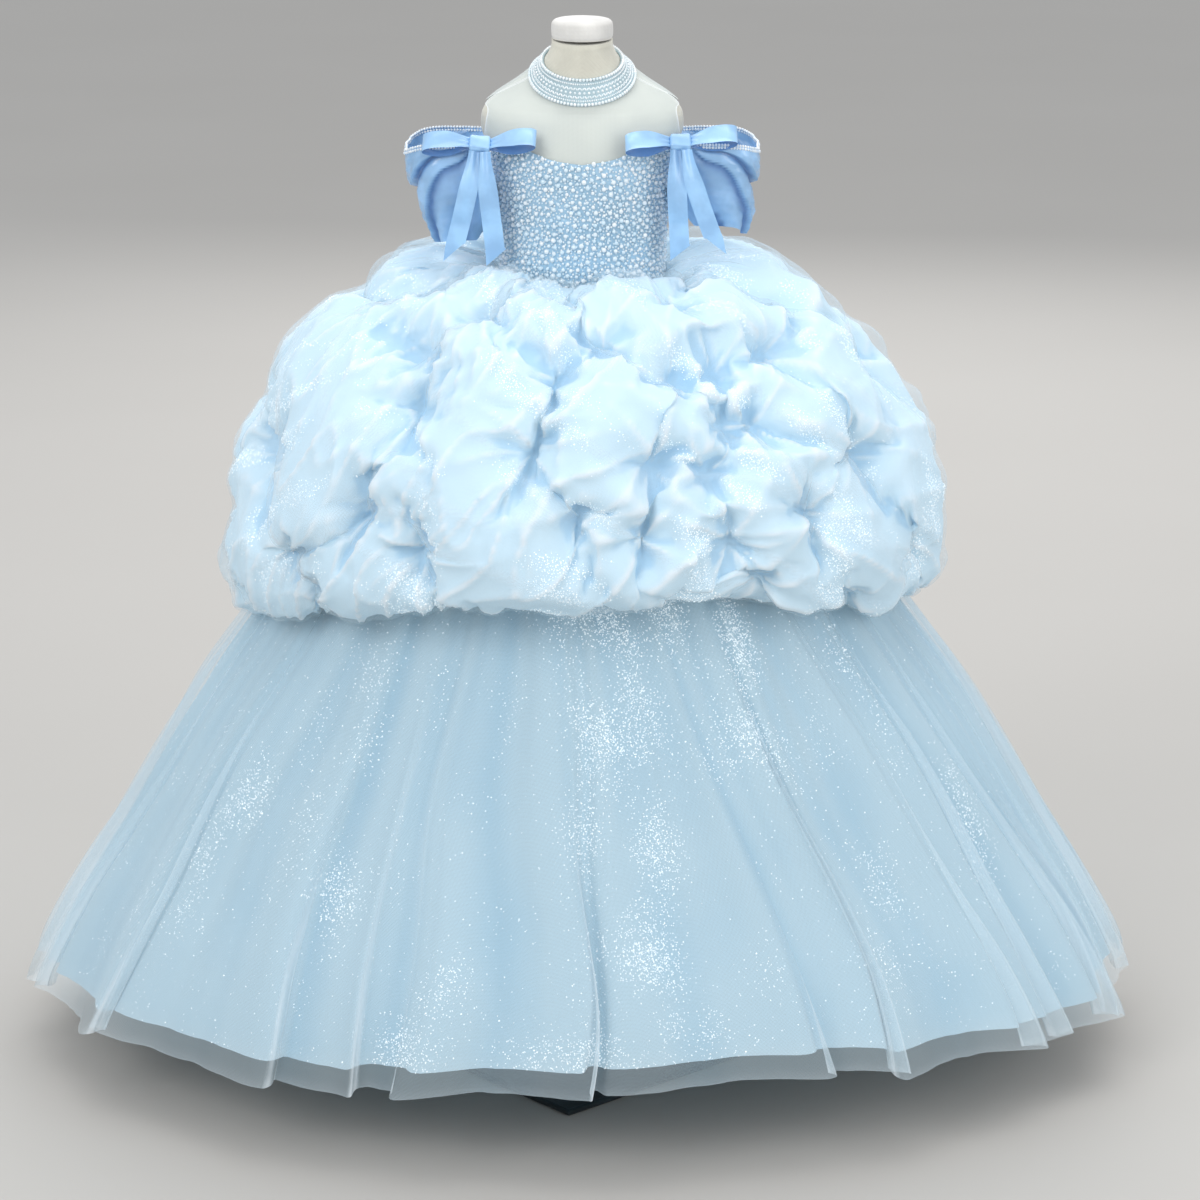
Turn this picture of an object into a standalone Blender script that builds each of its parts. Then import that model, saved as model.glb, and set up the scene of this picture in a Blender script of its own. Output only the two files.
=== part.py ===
"""Princess dress on a limbless dress form.

Metres, +Z up, the front faces -Y, the origin is on the floor under the middle of the stand.
Angles run round the dress in degrees: 0 is the front, 90 the right of the front view (+X).
"""
import math

import bmesh
import bpy
from mathutils import Matrix, Vector

# Driving sizes
CLOTH = 0.0018
SATIN_WALL = 0.0015
SEAM = 0.0003
FORM_CLEARANCE = 0.0012
YOKE_CLEARANCE = 0.0030
YOKE_TOP_MARGIN = 0.0020
FORM_EASE = 0.0012
WAIST_HEIGHT = 0.9250
YOKE_HALF_WIDTH = 0.112
PANEL_STEP = 11.25
NECK_BASE_HEIGHT = 1.190
COLLAR_GAP = 0.0005
COLLAR_WALL = 0.0036
BASE_SIDE = 0.434
BASE_THICKNESS = 0.008
BASE_TURN = 42.0
POLE_RADIUS = 0.011
TORSO_FOOT = 0.880
SKIRT_WALL = 0.0018
BODICE_WALL = 0.0024
TAIL_BULGE = 0.006
TAIL_FALL = 0.004
TAIL_LAYER = 0.0021
TAIL_DROP = 0.0012
PUFF_TUCK = 0.90
PUFF_SEAT = 0.0110
PUFF_WALL = 0.0024
FOLD_START = 0.700
FOLD_FULL = 0.080
HEM_SIDE = 0.075
HEM_FRONT_RISE = 0.040
HEM_WAVE = 0.004

# Dress form and bodice: one tilted ring for each row, lower in front by the tilt
TORSO_RINGS = (
    # height, tilt, half width, half depth
    (0.880, 0.0000, 0.1040, 0.0880),
    (0.915, 0.0000, 0.0970, 0.0810),
    (0.945, 0.0000, 0.0940, 0.0780),
    (0.985, 0.0000, 0.0945, 0.0800),
    (1.030, 0.0000, 0.0960, 0.0840),
    (1.070, 0.0000, 0.0985, 0.0860),
    (1.100, 0.0000, 0.1060, 0.0840),
    (1.125, 0.0020, 0.1190, 0.0780),
    (1.145, 0.0040, 0.1210, 0.0700),
    (1.158, 0.0080, 0.1160, 0.0640),
    (1.168, 0.0130, 0.1040, 0.0600),
    (1.178, 0.0190, 0.0840, 0.0585),
    (1.190, 0.0260, 0.0620, 0.0570),
    (1.2105, 0.0155, 0.0445, 0.0455),
    (1.228, 0.0060, 0.0365, 0.0380),
    (1.236, 0.0030, 0.0360, 0.0372),
)

COLLAR_ROWS = (
    # height, swell
    (1.1900, 0.0),
    (1.2000, 0.0009),
    (1.2105, 0.0),
)

# Upper edge of the bodice, the same on both sides: scoop in front, straight at the back
NECKLINE = (
    # angle, height
    (0.0, 1.100),
    (20.0, 1.106),
    (40.0, 1.121),
    (58.0, 1.126),
    (75.0, 1.108),
    (90.0, 1.096),
    (105.0, 1.104),
    (125.0, 1.118),
    (150.0, 1.116),
    (180.0, 1.112),
)

# Neck cap of the form, turned round the axis
NECK_CAP_PROFILE = (
    # radius, height
    (0.0355, 1.2393),
    (0.0362, 1.2440),
    (0.0362, 1.2530),
    (0.0335, 1.2580),
    (0.0240, 1.2602),
    (0.0, 1.2610),
)

# Long skirt without its folds
SKIRT_PROFILE = (
    # height, half width, half depth
    (0.9247, 0.1011, 0.0851),
    (0.910, 0.107, 0.091),
    (0.880, 0.140, 0.120),
    (0.820, 0.215, 0.185),
    (0.740, 0.280, 0.240),
    (0.657, 0.330, 0.280),
    (0.576, 0.375, 0.315),
    (0.525, 0.410, 0.335),
    (0.436, 0.470, 0.375),
    (0.280, 0.555, 0.440),
    (0.202, 0.602, 0.475),
    (0.103, 0.652, 0.512),
    (0.060, 0.664, 0.522),
)

# Long soft folds of the skirt, each from its own start angle to the next one's
FOLDS = (
    # start angle, depth at the hem, lean of the crest
    (-92.0, 0.030, 0.40),
    (-78.0, 0.026, 0.60),
    (-66.0, 0.032, 0.62),
    (-55.0, 0.022, 0.38),
    (-44.0, 0.034, 0.64),
    (-33.0, 0.026, 0.36),
    (-23.0, 0.024, 0.62),
    (-14.0, 0.030, 0.60),
    (-3.0, 0.020, 0.40),
    (7.0, 0.024, 0.42),
    (15.0, 0.030, 0.66),
    (23.0, 0.024, 0.34),
    (32.0, 0.030, 0.60),
    (41.0, 0.026, 0.36),
    (51.0, 0.030, 0.64),
    (62.0, 0.034, 0.60),
    (74.0, 0.024, 0.40),
    (86.0, 0.030, 0.60),
    (99.0, 0.026, 0.38),
    (113.0, 0.034, 0.62),
    (128.0, 0.024, 0.40),
    (142.0, 0.030, 0.60),
    (157.0, 0.022, 0.64),
    (171.0, 0.032, 0.38),
    (186.0, 0.024, 0.60),
    (200.0, 0.034, 0.40),
    (214.0, 0.026, 0.62),
    (228.0, 0.030, 0.36),
    (242.0, 0.022, 0.60),
    (255.0, 0.032, 0.42),
)
FOLD_STEPS = 4
SKIRT_LEVELS = (0.0, 0.10, 0.28, 0.42, 0.55, 0.70, 0.86, 1.0)
SKIRT_SEAMS = (-44.0, 51.0, 142.0, 228.0)

# Lining without its shallow waves
LINING_PROFILE = (
    # height, half width, half depth
    (0.9247, 0.0990, 0.0830),
    (0.820, 0.195, 0.165),
    (0.657, 0.305, 0.255),
    (0.436, 0.435, 0.345),
    (0.280, 0.518, 0.408),
    (0.150, 0.585, 0.465),
)
LINING_WAVES = 22
LINING_WAVE = 0.008
LINING_COLUMNS = 88
LINING_LEVELS = (0.0, 0.25, 0.55, 0.8, 1.0)

# Puffed overskirt without its puffs, from the waist seam out, down and back in
PUFF_PROFILE = (
    # part of the way, half width, half depth, part of the drop
    (0.00, 0.1016, 0.0856, 0.000),
    (0.05, 0.120, 0.102, -0.060),
    (0.12, 0.160, 0.138, -0.080),
    (0.22, 0.218, 0.192, -0.020),
    (0.33, 0.272, 0.242, 0.120),
    (0.45, 0.322, 0.288, 0.320),
    (0.58, 0.362, 0.322, 0.540),
    (0.70, 0.386, 0.344, 0.740),
    (0.80, 0.398, 0.354, 0.880),
    (0.88, 0.398, 0.352, 0.970),
    (0.95, 0.388, 0.338, 1.020),
    (1.00, 0.372, 0.318, 1.030),
)
PUFF_COLUMNS = 80
PUFF_LEVELS = (0.0, 0.05, 0.11, 0.18, 0.25, 0.32, 0.39, 0.46, 0.53, 0.60, 0.67, 0.74, 0.81,
               0.88, 0.94, 1.0)
PUFF_SEAMS = (-45.0, 45.0, 135.0, 225.0)

# Lower edge of the overskirt
BUBBLE_HEM = (
    # angle, height
    (-180.0, 0.590),
    (-130.0, 0.585),
    (-85.0, 0.578),
    (-50.0, 0.615),
    (-20.0, 0.655),
    (0.0, 0.665),
    (25.0, 0.655),
    (45.0, 0.632),
    (75.0, 0.612),
    (100.0, 0.600),
    (135.0, 0.585),
    (180.0, 0.590),
)

# Tacks that draw the overskirt in; its cloth billows out between them
PUFF_DROP = 0.56
PUFF_SINK = 0.35
PUFF_FULLNESS = 0.044
TACK_REACH = 0.052
PUFF_RISE = 0.30
PUFF_CLOSE = 0.14
TACKS = (
    # angle, part of the way
    (-38.0, 0.34),
    (-34.0, 0.44),
    (-38.0, 0.64),
    (-6.0, 0.38),
    (-9.0, 0.52),
    (-26.0, 0.74),
    (-53.0, 0.73),
    (-27.0, 0.25),
    (-68.0, 0.55),
    (-1.0, 0.66),
    (-48.0, 0.86),
    (5.0, 0.31),
    (19.0, 0.38),
    (30.0, 0.37),
    (28.0, 0.48),
    (35.0, 0.48),
    (12.0, 0.55),
    (23.0, 0.58),
    (10.0, 0.71),
    (25.0, 0.74),
    (30.0, 0.85),
    (40.0, 0.66),
    (10.0, 0.93),
    (65.0, 0.24),
    (47.0, 0.34),
    (66.0, 0.76),
    (84.0, 0.40),
    (91.0, 0.66),
    (-92.0, 0.30),
    (-88.0, 0.46),
    (-84.0, 0.68),
    (55.0, 0.55),
    (-20.0, 0.93),
    (-72.0, 0.88),
    (50.0, 0.90),
    (78.0, 0.90),
    (-62.0, 0.22),
    (-8.0, 0.17),
    (30.0, 0.20),
    (104.0, 0.30),
    (128.0, 0.42),
    (150.0, 0.28),
    (174.0, 0.44),
    (197.0, 0.30),
    (220.0, 0.42),
    (243.0, 0.28),
    (112.0, 0.55),
    (138.0, 0.68),
    (160.0, 0.56),
    (184.0, 0.70),
    (206.0, 0.58),
    (230.0, 0.66),
    (252.0, 0.52),
    (105.0, 0.80),
    (128.0, 0.86),
    (152.0, 0.84),
    (176.0, 0.90),
    (200.0, 0.84),
    (222.0, 0.88),
    (246.0, 0.82),
    (262.0, 0.66),
)

# Sleeves, seen from the body outwards: one row for each height, for the left and the right
# of the front view
SLEEVE_RINGS = {
    "left": (
        # height, distance of the middle, half width, half depth
        (0.990, 0.1430, 0.0235, 0.0330),
        (1.010, 0.1460, 0.0275, 0.0370),
        (1.035, 0.1480, 0.0365, 0.0430),
        (1.065, 0.1495, 0.0457, 0.0520),
        (1.090, 0.1530, 0.0475, 0.0580),
        (1.120, 0.1545, 0.0520, 0.0600),
    ),
    "right": (
        (0.990, 0.1560, 0.0290, 0.0330),
        (1.010, 0.1590, 0.0305, 0.0370),
        (1.035, 0.1570, 0.0400, 0.0430),
        (1.065, 0.1510, 0.0472, 0.0520),
        (1.090, 0.1535, 0.0480, 0.0600),
        (1.120, 0.1540, 0.0505, 0.0632),
    ),
}
# Rim and lower edge of a sleeve: next to the body, in front and behind, and outside
SLEEVE_EDGES = {
    "left": {"rim": (1.066, 1.121, 1.108), "hem": (1.010, 1.002, 0.996)},
    "right": {"rim": (1.066, 1.121, 1.110), "hem": (1.040, 1.020, 1.006)},
}
SLEEVE_SQUARENESS = 3.5
SLEEVE_INNER_START = 0.55
SLEEVE_INNER_FULL = 0.92
SLEEVE_COLUMNS = 20
# Pleats of a sleeve from the rim down: the upper layer overlaps the lower one at each step
SLEEVE_ROWS = (
    # part of the way, swell
    (0.00, 0.0010),
    (0.20, 0.0040),
    (0.40, 0.0036),
    (0.43, 0.0002),
    (0.58, 0.0030),
    (0.73, 0.0028),
    (0.76, 0.0002),
    (0.90, 0.0018),
    (1.00, 0.0008),
)
PLEAT_SLANT = 0.10

# Bows: middle of the knot, turn of the whole bow, and its two loops and two tails
BOWS = {
    "left": {
        "knot": (-0.1195, -0.0679, 1.1225),
        "turn": -4.0,
        "loops": (
            # side, length, turn, part of its length that it comes forward
            (-1, 0.056, -4.0, 0.05),
            (1, 0.060, 14.0, 0.38),
        ),
        "tails": (
            # shift along, drop, spread at the foot, slant of the cut
            (-0.006, 0.122, -0.026, -0.010),
            (0.007, 0.126, 0.012, -0.010),
        ),
    },
    "right": {
        "knot": (0.1150, -0.0671, 1.1245),
        "turn": 2.0,
        "loops": (
            (-1, 0.060, 4.0, 0.50),
            (1, 0.056, 6.0, 0.05),
        ),
        "tails": (
            (-0.006, 0.124, 0.006, -0.009),
            (0.007, 0.116, 0.036, 0.009),
        ),
    },
}
RIBBON_WIDTH = 0.023
KNOT_SIZE = (0.024, 0.013, 0.021)
LOOP_HEIGHT = 0.015
LOOP_PINCH = 0.0016
LOOP_OPENING = 0.04
LOOP_NECK = 0.62
TAIL_NECK = 0.55
KNOT_CHAMFER = 0.003
BOW_TILT = 48.0
LOOP_STEPS = 12
TAIL_STEPS = 5

# Colour, roughness and metallic value of each material
FINISHES = {
    "form_cloth": ((0.78, 0.76, 0.70, 1.0), 0.85, 0.0),
    "stand_paint": ((0.012, 0.02, 0.03, 1.0), 0.35, 0.0),
    "beadwork": ((0.55, 0.66, 0.68, 1.0), 0.30, 0.2),
    "yoke_mesh": ((0.72, 0.80, 0.80, 1.0), 0.60, 0.0),
    "bodice_cloth": ((0.36, 0.56, 0.70, 1.0), 0.45, 0.0),
    "satin": ((0.28, 0.47, 0.76, 1.0), 0.30, 0.0),
    "puff_tulle": ((0.68, 0.84, 0.94, 1.0), 0.60, 0.0),
    "skirt_tulle": ((0.50, 0.70, 0.82, 1.0), 0.60, 0.0),
    "lining_cloth": ((0.42, 0.64, 0.80, 1.0), 0.60, 0.0),
}


def smooth_value(rows, at, column):
    """Value of one column of a table at a place between its rows, without kinks."""
    places = [row[0] for row in rows]
    if at <= places[0]:
        return rows[0][column]
    if at >= places[-1]:
        return rows[-1][column]
    index = max(i for i, place in enumerate(places) if place <= at)
    index = min(index, len(rows) - 2)

    def slope(i):
        low, high = max(i - 1, 0), min(i + 1, len(rows) - 1)
        return (rows[high][column] - rows[low][column]) / (places[high] - places[low])

    span = places[index + 1] - places[index]
    t = (at - places[index]) / span
    start, end = rows[index][column], rows[index + 1][column]
    return (
        (2 * t ** 3 - 3 * t ** 2 + 1) * start
        + (t ** 3 - 2 * t ** 2 + t) * span * slope(index)
        + (3 * t ** 2 - 2 * t ** 3) * end
        + (t ** 3 - t ** 2) * span * slope(index + 1)
    )


def ring_point(half_width, half_depth, angle, height):
    """Point on an oval ring round the axis."""
    turn = math.radians(angle)
    return Vector((half_width * math.sin(turn), -half_depth * math.cos(turn), height))


def finish(name):
    """Material of one finish, made once."""
    material = bpy.data.materials.get(name)
    if material is None:
        colour, roughness, metallic = FINISHES[name]
        material = bpy.data.materials.new(name)
        material.use_nodes = True
        shader = material.node_tree.nodes["Principled BSDF"]
        shader.inputs["Base Color"].default_value = colour
        shader.inputs["Roughness"].default_value = roughness
        shader.inputs["Metallic"].default_value = metallic
        material.diffuse_color = colour
    return material


def add_solid(name, points, faces, material):
    """Object from points and faces, turned outwards and shaded smooth."""
    mesh = bpy.data.meshes.new(name)
    mesh.from_pydata([tuple(point) for point in points], [], faces)
    shape = bmesh.new()
    shape.from_mesh(mesh)
    bmesh.ops.recalc_face_normals(shape, faces=shape.faces)
    shape.to_mesh(mesh)
    shape.free()
    mesh.shade_smooth()
    mesh.set_sharp_from_angle(angle=math.radians(50.0))
    mesh.materials.append(finish(material))
    solid = bpy.data.objects.new(name, mesh)
    bpy.context.scene.collection.objects.link(solid)
    return solid


def add_wall(name, outer, inner, material, closed=False):
    """Cloth wall between two grids of points; a closed one runs all the way round."""
    rows, columns = len(outer), len(outer[0])
    points = [point for grid in (outer, inner) for row in grid for point in row]

    def at(layer, row, column):
        return layer * rows * columns + row * columns + column % columns

    faces = []
    last = columns if closed else columns - 1
    for row in range(rows - 1):
        for column in range(last):
            for layer in (0, 1):
                low, low_next = at(layer, row, column), at(layer, row, column + 1)
                high, high_next = at(layer, row + 1, column), at(layer, row + 1, column + 1)
                faces += [(low, low_next, high_next), (low, high_next, high)]
    for column in range(last):
        for row in (0, rows - 1):
            faces.append((at(0, row, column), at(1, row, column),
                          at(1, row, column + 1), at(0, row, column + 1)))
    if not closed:
        for row in range(rows - 1):
            for column in (0, columns - 1):
                faces.append((at(0, row, column), at(0, row + 1, column),
                              at(1, row + 1, column), at(1, row, column)))
    return add_solid(name, points, faces, material)


def add_loft(name, rings, material):
    """Closed body through rings of points, with a flat face at each end."""
    count = len(rings[0])
    points = [point for ring in rings for point in ring]
    faces = [tuple(range(count))]
    faces.append(tuple(range(len(points) - count, len(points))))
    for row in range(len(rings) - 1):
        for column in range(count):
            following = (column + 1) % count
            faces.append((row * count + column, row * count + following,
                          (row + 1) * count + following, (row + 1) * count + column))
    return add_solid(name, points, faces, material)


def torso_surface(angle, height):
    """Point of the dress form's own surface."""
    tilt = smooth_value(TORSO_RINGS, height, 1)
    half_width = smooth_value(TORSO_RINGS, height, 2)
    half_depth = smooth_value(TORSO_RINGS, height, 3)
    level = height - tilt * math.cos(math.radians(angle))
    return ring_point(half_width, half_depth, angle, level)


def torso_point(angle, height, out):
    """Point at a distance outside the dress form's surface."""
    step, rise = 0.5, 0.0005
    across = torso_surface(angle + step, height) - torso_surface(angle - step, height)
    up = torso_surface(angle, height + rise) - torso_surface(angle, height - rise)
    return torso_surface(angle, height) + across.cross(up).normalized() * out


def neckline_height(angle):
    """Height of the bodice's upper edge."""
    folded = abs((angle + 180.0) % 360.0 - 180.0)
    return smooth_value(NECKLINE, folded, 1)


def part_columns(grid, at_start=True, at_end=True):
    """Pull the first and last column of a panel back from its neighbours by half a seam."""
    for row in grid:
        if at_start:
            row[0] = row[0] + (row[1] - row[0]).normalized() * SEAM / 2
        if at_end:
            row[-1] = row[-1] + (row[-2] - row[-1]).normalized() * SEAM / 2
    return grid


def add_form():
    """Torso, neck cap, pole and base of the dress form."""
    heights = (TORSO_FOOT, 0.915, 0.945, 0.985, 1.03, 1.07, 1.1, 1.1125, 1.125, 1.138, 1.148,
               1.158, 1.168, 1.178, 1.19, 1.2, 1.2105, 1.222, 1.236)
    columns = round(360.0 / PANEL_STEP)
    rings = []
    for height in heights:
        ease = FORM_EASE if height < NECK_BASE_HEIGHT else 0.0
        rings.append([torso_point(PANEL_STEP * i, height, -ease) for i in range(columns)])
    add_loft("form_torso", rings, "form_cloth")
    columns = 24
    rings = []
    for radius, height in NECK_CAP_PROFILE[:-1]:
        rings.append([ring_point(radius, radius, 360.0 * i / columns, height)
                      for i in range(columns)])
    crown = 0.004
    rings.append([ring_point(crown, crown, 360.0 * i / columns, NECK_CAP_PROFILE[-1][1])
                  for i in range(columns)])
    add_loft("form_neck_cap", rings, "form_cloth")
    sides = 16
    rings = [[ring_point(POLE_RADIUS, POLE_RADIUS, 360.0 * i / sides, height)
              for i in range(sides)] for height in (BASE_THICKNESS + SEAM, TORSO_FOOT - SEAM)]
    add_loft("stand_pole", rings, "stand_paint")
    half = BASE_SIDE / 2
    edge = 0.002
    rings = []
    for inset, height in ((edge, 0.0), (0.0, edge), (0.0, BASE_THICKNESS - edge),
                          (edge, BASE_THICKNESS)):
        reach = half - inset
        corners = ((-reach, -reach), (reach, -reach), (reach, reach), (-reach, reach))
        spin = Matrix.Rotation(math.radians(BASE_TURN), 3, "Z")
        rings.append([spin @ Vector((x, y, height)) for x, y in corners])
    add_loft("stand_base", rings, "stand_paint")


def add_collar():
    """Beaded band round the foot of the neck, open at the top and the bottom."""
    columns = round(360.0 / PANEL_STEP)
    angles = [PANEL_STEP * i for i in range(columns)]
    outer, inner = [], []
    for height, bulge in COLLAR_ROWS:
        outer.append([torso_point(a, height, COLLAR_GAP + COLLAR_WALL + bulge) for a in angles])
        inner.append([torso_point(a, height, COLLAR_GAP) for a in angles])
    add_wall("collar_band", outer, inner, "beadwork", closed=True)


def yoke_edge_angle(height):
    """Angle at which the yoke ends, at the armhole or on the shoulder."""
    half_width = smooth_value(TORSO_RINGS, height, 2)
    return math.degrees(math.asin(min(1.0, YOKE_HALF_WIDTH / half_width)))


def add_yoke(name, middle):
    """Sheer panel from the neckline to the collar, in front or behind."""
    across, rise = 14, 8
    corner_angle = across / 2 * PANEL_STEP
    corner = neckline_height(middle - corner_angle)
    outer, inner = [], []
    for row in range(rise + 1):
        part = row / rise
        edge_height = corner + (NECK_BASE_HEIGHT - corner) * part
        edge = yoke_edge_angle(edge_height) if row else corner_angle
        outer_row, inner_row = [], []
        for column in range(across + 1):
            angle = middle + edge * (2.0 * column / across - 1.0)
            low = neckline_height(angle) + SEAM / 2
            high = NECK_BASE_HEIGHT - YOKE_TOP_MARGIN
            height = low + (high - low) * part
            outer_row.append(torso_point(angle, height, YOKE_CLEARANCE + CLOTH))
            inner_row.append(torso_point(angle, height, YOKE_CLEARANCE))
        outer.append(outer_row)
        inner.append(inner_row)
    add_wall(name, part_columns(outer), part_columns(inner), "yoke_mesh")


def add_bodice(name, middle):
    """Half of the bodice, from the waist seam to the neckline."""
    across = round(180.0 / PANEL_STEP)
    parts = (0.0, 0.14, 0.32, 0.5, 0.68, 0.82, 0.92, 1.0)
    outer, inner = [], []
    for part in parts:
        outer_row, inner_row = [], []
        for column in range(across + 1):
            angle = middle - 90.0 + PANEL_STEP * column
            low = WAIST_HEIGHT + SEAM / 2
            high = neckline_height(angle) - SEAM / 2
            height = low + (high - low) * part
            outer_row.append(torso_point(angle, height, FORM_CLEARANCE + BODICE_WALL))
            inner_row.append(torso_point(angle, height, FORM_CLEARANCE))
        outer.append(outer_row)
        inner.append(inner_row)
    add_wall(name, part_columns(outer), part_columns(inner), "bodice_cloth")


def sleeve_level(edge, turn):
    """Height of a sleeve's rim or hem at a turn round it, 0 next to the body."""
    body, side, outside = edge
    inward = math.cos(turn)
    if inward > 0.0:
        share = (inward - SLEEVE_INNER_START) / (SLEEVE_INNER_FULL - SLEEVE_INNER_START)
        share = min(1.0, max(0.0, share))
        share = share * share * (3.0 - 2.0 * share)
        return side + (body - side) * share
    return side + (outside - side) * inward * inward


def add_sleeve(side, sign):
    """Pleated off-shoulder sleeve, open above and below."""
    rings = SLEEVE_RINGS[side]
    edges = SLEEVE_EDGES[side]
    power = 2.0 / SLEEVE_SQUARENESS
    outer, inner = [], []
    for part, swell in reversed(SLEEVE_ROWS):
        outer_row, inner_row = [], []
        for column in range(SLEEVE_COLUMNS):
            turn = 2.0 * math.pi * column / SLEEVE_COLUMNS
            rim = sleeve_level(edges["rim"], turn)
            hem = sleeve_level(edges["hem"], turn)
            slant = -PLEAT_SLANT * math.cos(turn) * math.sin(math.pi * part)
            height = rim + (hem - rim) * (part + slant)
            middle = smooth_value(rings, height, 1)
            across, along = math.cos(turn), math.sin(turn)
            reach = (math.copysign(abs(across) ** power, across),
                     math.copysign(abs(along) ** power, along))
            shown = 0.5 - 0.5 * across
            for row, out in ((outer_row, SATIN_WALL + swell * shown), (inner_row, 0.0)):
                half_width = smooth_value(rings, height, 2) + out
                half_depth = smooth_value(rings, height, 3) + out
                x = sign * (middle - half_width * reach[0])
                row.append(Vector((x, half_depth * reach[1], height)))
        outer.append(outer_row)
        inner.append(inner_row)
    add_wall("sleeve_" + side, outer, inner, "satin", closed=True)


def add_ribbon(name, path, widths, lifts, material):
    """Flat band through a path: at each point a width vector and a thickness vector."""
    rings = []
    for point, wide, lift in zip(path, widths, lifts):
        rings.append([point - wide - lift, point + wide - lift,
                      point + wide + lift, point - wide + lift])
    add_loft(name, rings, material)


def add_bow(side):
    """Bow of flat ribbon: a knot, two loops and two tails with slanted ends."""
    sizes = BOWS[side]
    knot = Vector(sizes["knot"])
    tilt = Matrix.Rotation(math.radians(BOW_TILT), 3, "X")
    roll = Matrix.Rotation(math.radians(-sizes["turn"]), 3, "Y")
    along = roll @ Vector((1.0, 0.0, 0.0))
    down = roll @ tilt @ Vector((0.0, -1.0, 0.0))
    out = roll @ tilt @ Vector((0.0, 0.0, 1.0))
    half = Vector(KNOT_SIZE) / 2
    rings = []
    for reach, inset in ((-1.0, KNOT_CHAMFER), (-0.7, 0.0), (0.7, 0.0), (1.0, KNOT_CHAMFER)):
        ring = []
        for a, b in ((-1, -1), (1, -1), (1, 1), (-1, 1)):
            ring.append(knot + along * half.x * reach + down * (half.z - inset) * a
                        + out * (half.y - inset) * b)
        rings.append(ring)
    add_loft("bow_" + side + "_knot", rings, "satin")

    for direction, length, turn, forward in sizes["loops"]:
        spin = Matrix.Rotation(math.radians(-turn * direction), 3, "Y")
        way = (spin @ (along * direction) + Vector((0.0, -forward, 0.0))).normalized()
        start = knot + along * direction * (half.x + SEAM)
        path, widths, lifts = [], [], []
        for step in range(LOOP_STEPS + 1):
            turn_part = step / LOOP_STEPS
            swing = 2.0 * math.pi * (LOOP_OPENING + (1.0 - 2.0 * LOOP_OPENING) * turn_part)
            reach = length * (1.0 - math.cos(swing)) / 2.0
            body = ((1.0 - math.cos(swing)) / 2.0) ** 0.5
            lift = -LOOP_HEIGHT / 2.0 * math.sin(swing) * body
            lift -= LOOP_PINCH * math.cos(swing / 2.0)
            path.append(start + way * reach + out * lift)
            fullness = LOOP_NECK + (1.0 - LOOP_NECK) * min(1.0, reach / length * 1.6)
            widths.append(down * RIBBON_WIDTH / 2.0 * fullness)
        for step in range(LOOP_STEPS + 1):
            before, after = path[max(step - 1, 0)], path[min(step + 1, LOOP_STEPS)]
            lifts.append((after - before).cross(down).normalized() * SATIN_WALL / 2.0)
        side_name = "outer" if direction * knot.x > 0 else "inner"
        add_ribbon("bow_" + side + "_loop_" + side_name, path, widths, lifts, "satin")

    for number, (shift, drop, spread, slant) in enumerate(sizes["tails"], 1):
        top = knot + along * shift + down * (half.z + TAIL_DROP)
        path, widths, lifts = [], [], []
        for step in range(TAIL_STEPS + 1):
            part = step / TAIL_STEPS
            point = top + Vector((spread * part ** 1.3, 0.0, -drop * part))
            point.y -= TAIL_BULGE * math.sin(math.pi * min(1.0, part * 1.4)) - TAIL_FALL * part
            point.y -= TAIL_LAYER * (number - 1)
            fullness = TAIL_NECK + (1.0 - TAIL_NECK) * min(1.0, part * 3.0)
            wide = Vector((RIBBON_WIDTH / 2.0 * fullness, 0.0, 0.0))
            if step == TAIL_STEPS:
                wide.z = -slant
            path.append(point)
            widths.append(wide)
            lifts.append(Vector((0.0, SATIN_WALL / 2.0, 0.0)))
        add_ribbon("bow_%s_tail_%d" % (side, number), path, widths, lifts, "satin")


def fold_angles():
    """Angles of the columns of the skirt, with the same number in each fold."""
    starts = [row[0] for row in FOLDS] + [FOLDS[0][0] + 360.0]
    angles = []
    for first, last in zip(starts, starts[1:]):
        angles += [first + (last - first) * step / FOLD_STEPS for step in range(FOLD_STEPS)]
    return angles


def fold_depth(angle, height):
    """How far a fold stands out of the skirt."""
    starts = [row[0] for row in FOLDS] + [FOLDS[0][0] + 360.0]
    place = (angle - starts[0]) % 360.0 + starts[0]
    index = max(i for i in range(len(FOLDS)) if starts[i] <= place + 1e-6)
    _, depth, lean = FOLDS[index]
    across = (place - starts[index]) / (starts[index + 1] - starts[index])
    across = min(1.0, max(0.0, across))
    skewed = across ** (math.log(0.5) / math.log(lean))
    growth = min(1.0, max(0.0, (FOLD_START - height) / (FOLD_START - FOLD_FULL)))
    return depth * math.sin(math.pi * skewed) ** 2 * growth ** 1.2


def skirt_hem(angle):
    """Height of the long skirt's hem: lowest at the sides."""
    front = max(0.0, math.cos(math.radians(angle)))
    wave = HEM_WAVE * math.sin(math.radians(5.0 * angle + 40.0))
    return HEM_SIDE + HEM_FRONT_RISE * front ** 2 + wave


def skirt_point(angle, level, inward=0.0):
    """Point of the long skirt; level runs from 0 at the waist to 1 at the hem."""
    top = SKIRT_PROFILE[0][0]
    height = top + (skirt_hem(angle) - top) * level
    out = fold_depth(angle, height) - inward
    profile = SKIRT_PROFILE[::-1]
    half_width = smooth_value(profile, height, 1) + out
    half_depth = smooth_value(profile, height, 2) + out
    return ring_point(half_width, half_depth, angle, height)


def lining_point(angle, level, inward=0.0):
    """Point of the lining, a plain cone with shallow waves."""
    top = LINING_PROFILE[0][0]
    height = top + (LINING_PROFILE[-1][0] - top) * level
    wave = LINING_WAVE * level * math.sin(math.radians(LINING_WAVES * angle)) - inward
    profile = LINING_PROFILE[::-1]
    half_width = smooth_value(profile, height, 1) + wave
    half_depth = smooth_value(profile, height, 2) + wave
    return ring_point(half_width, half_depth, angle, height)


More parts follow.
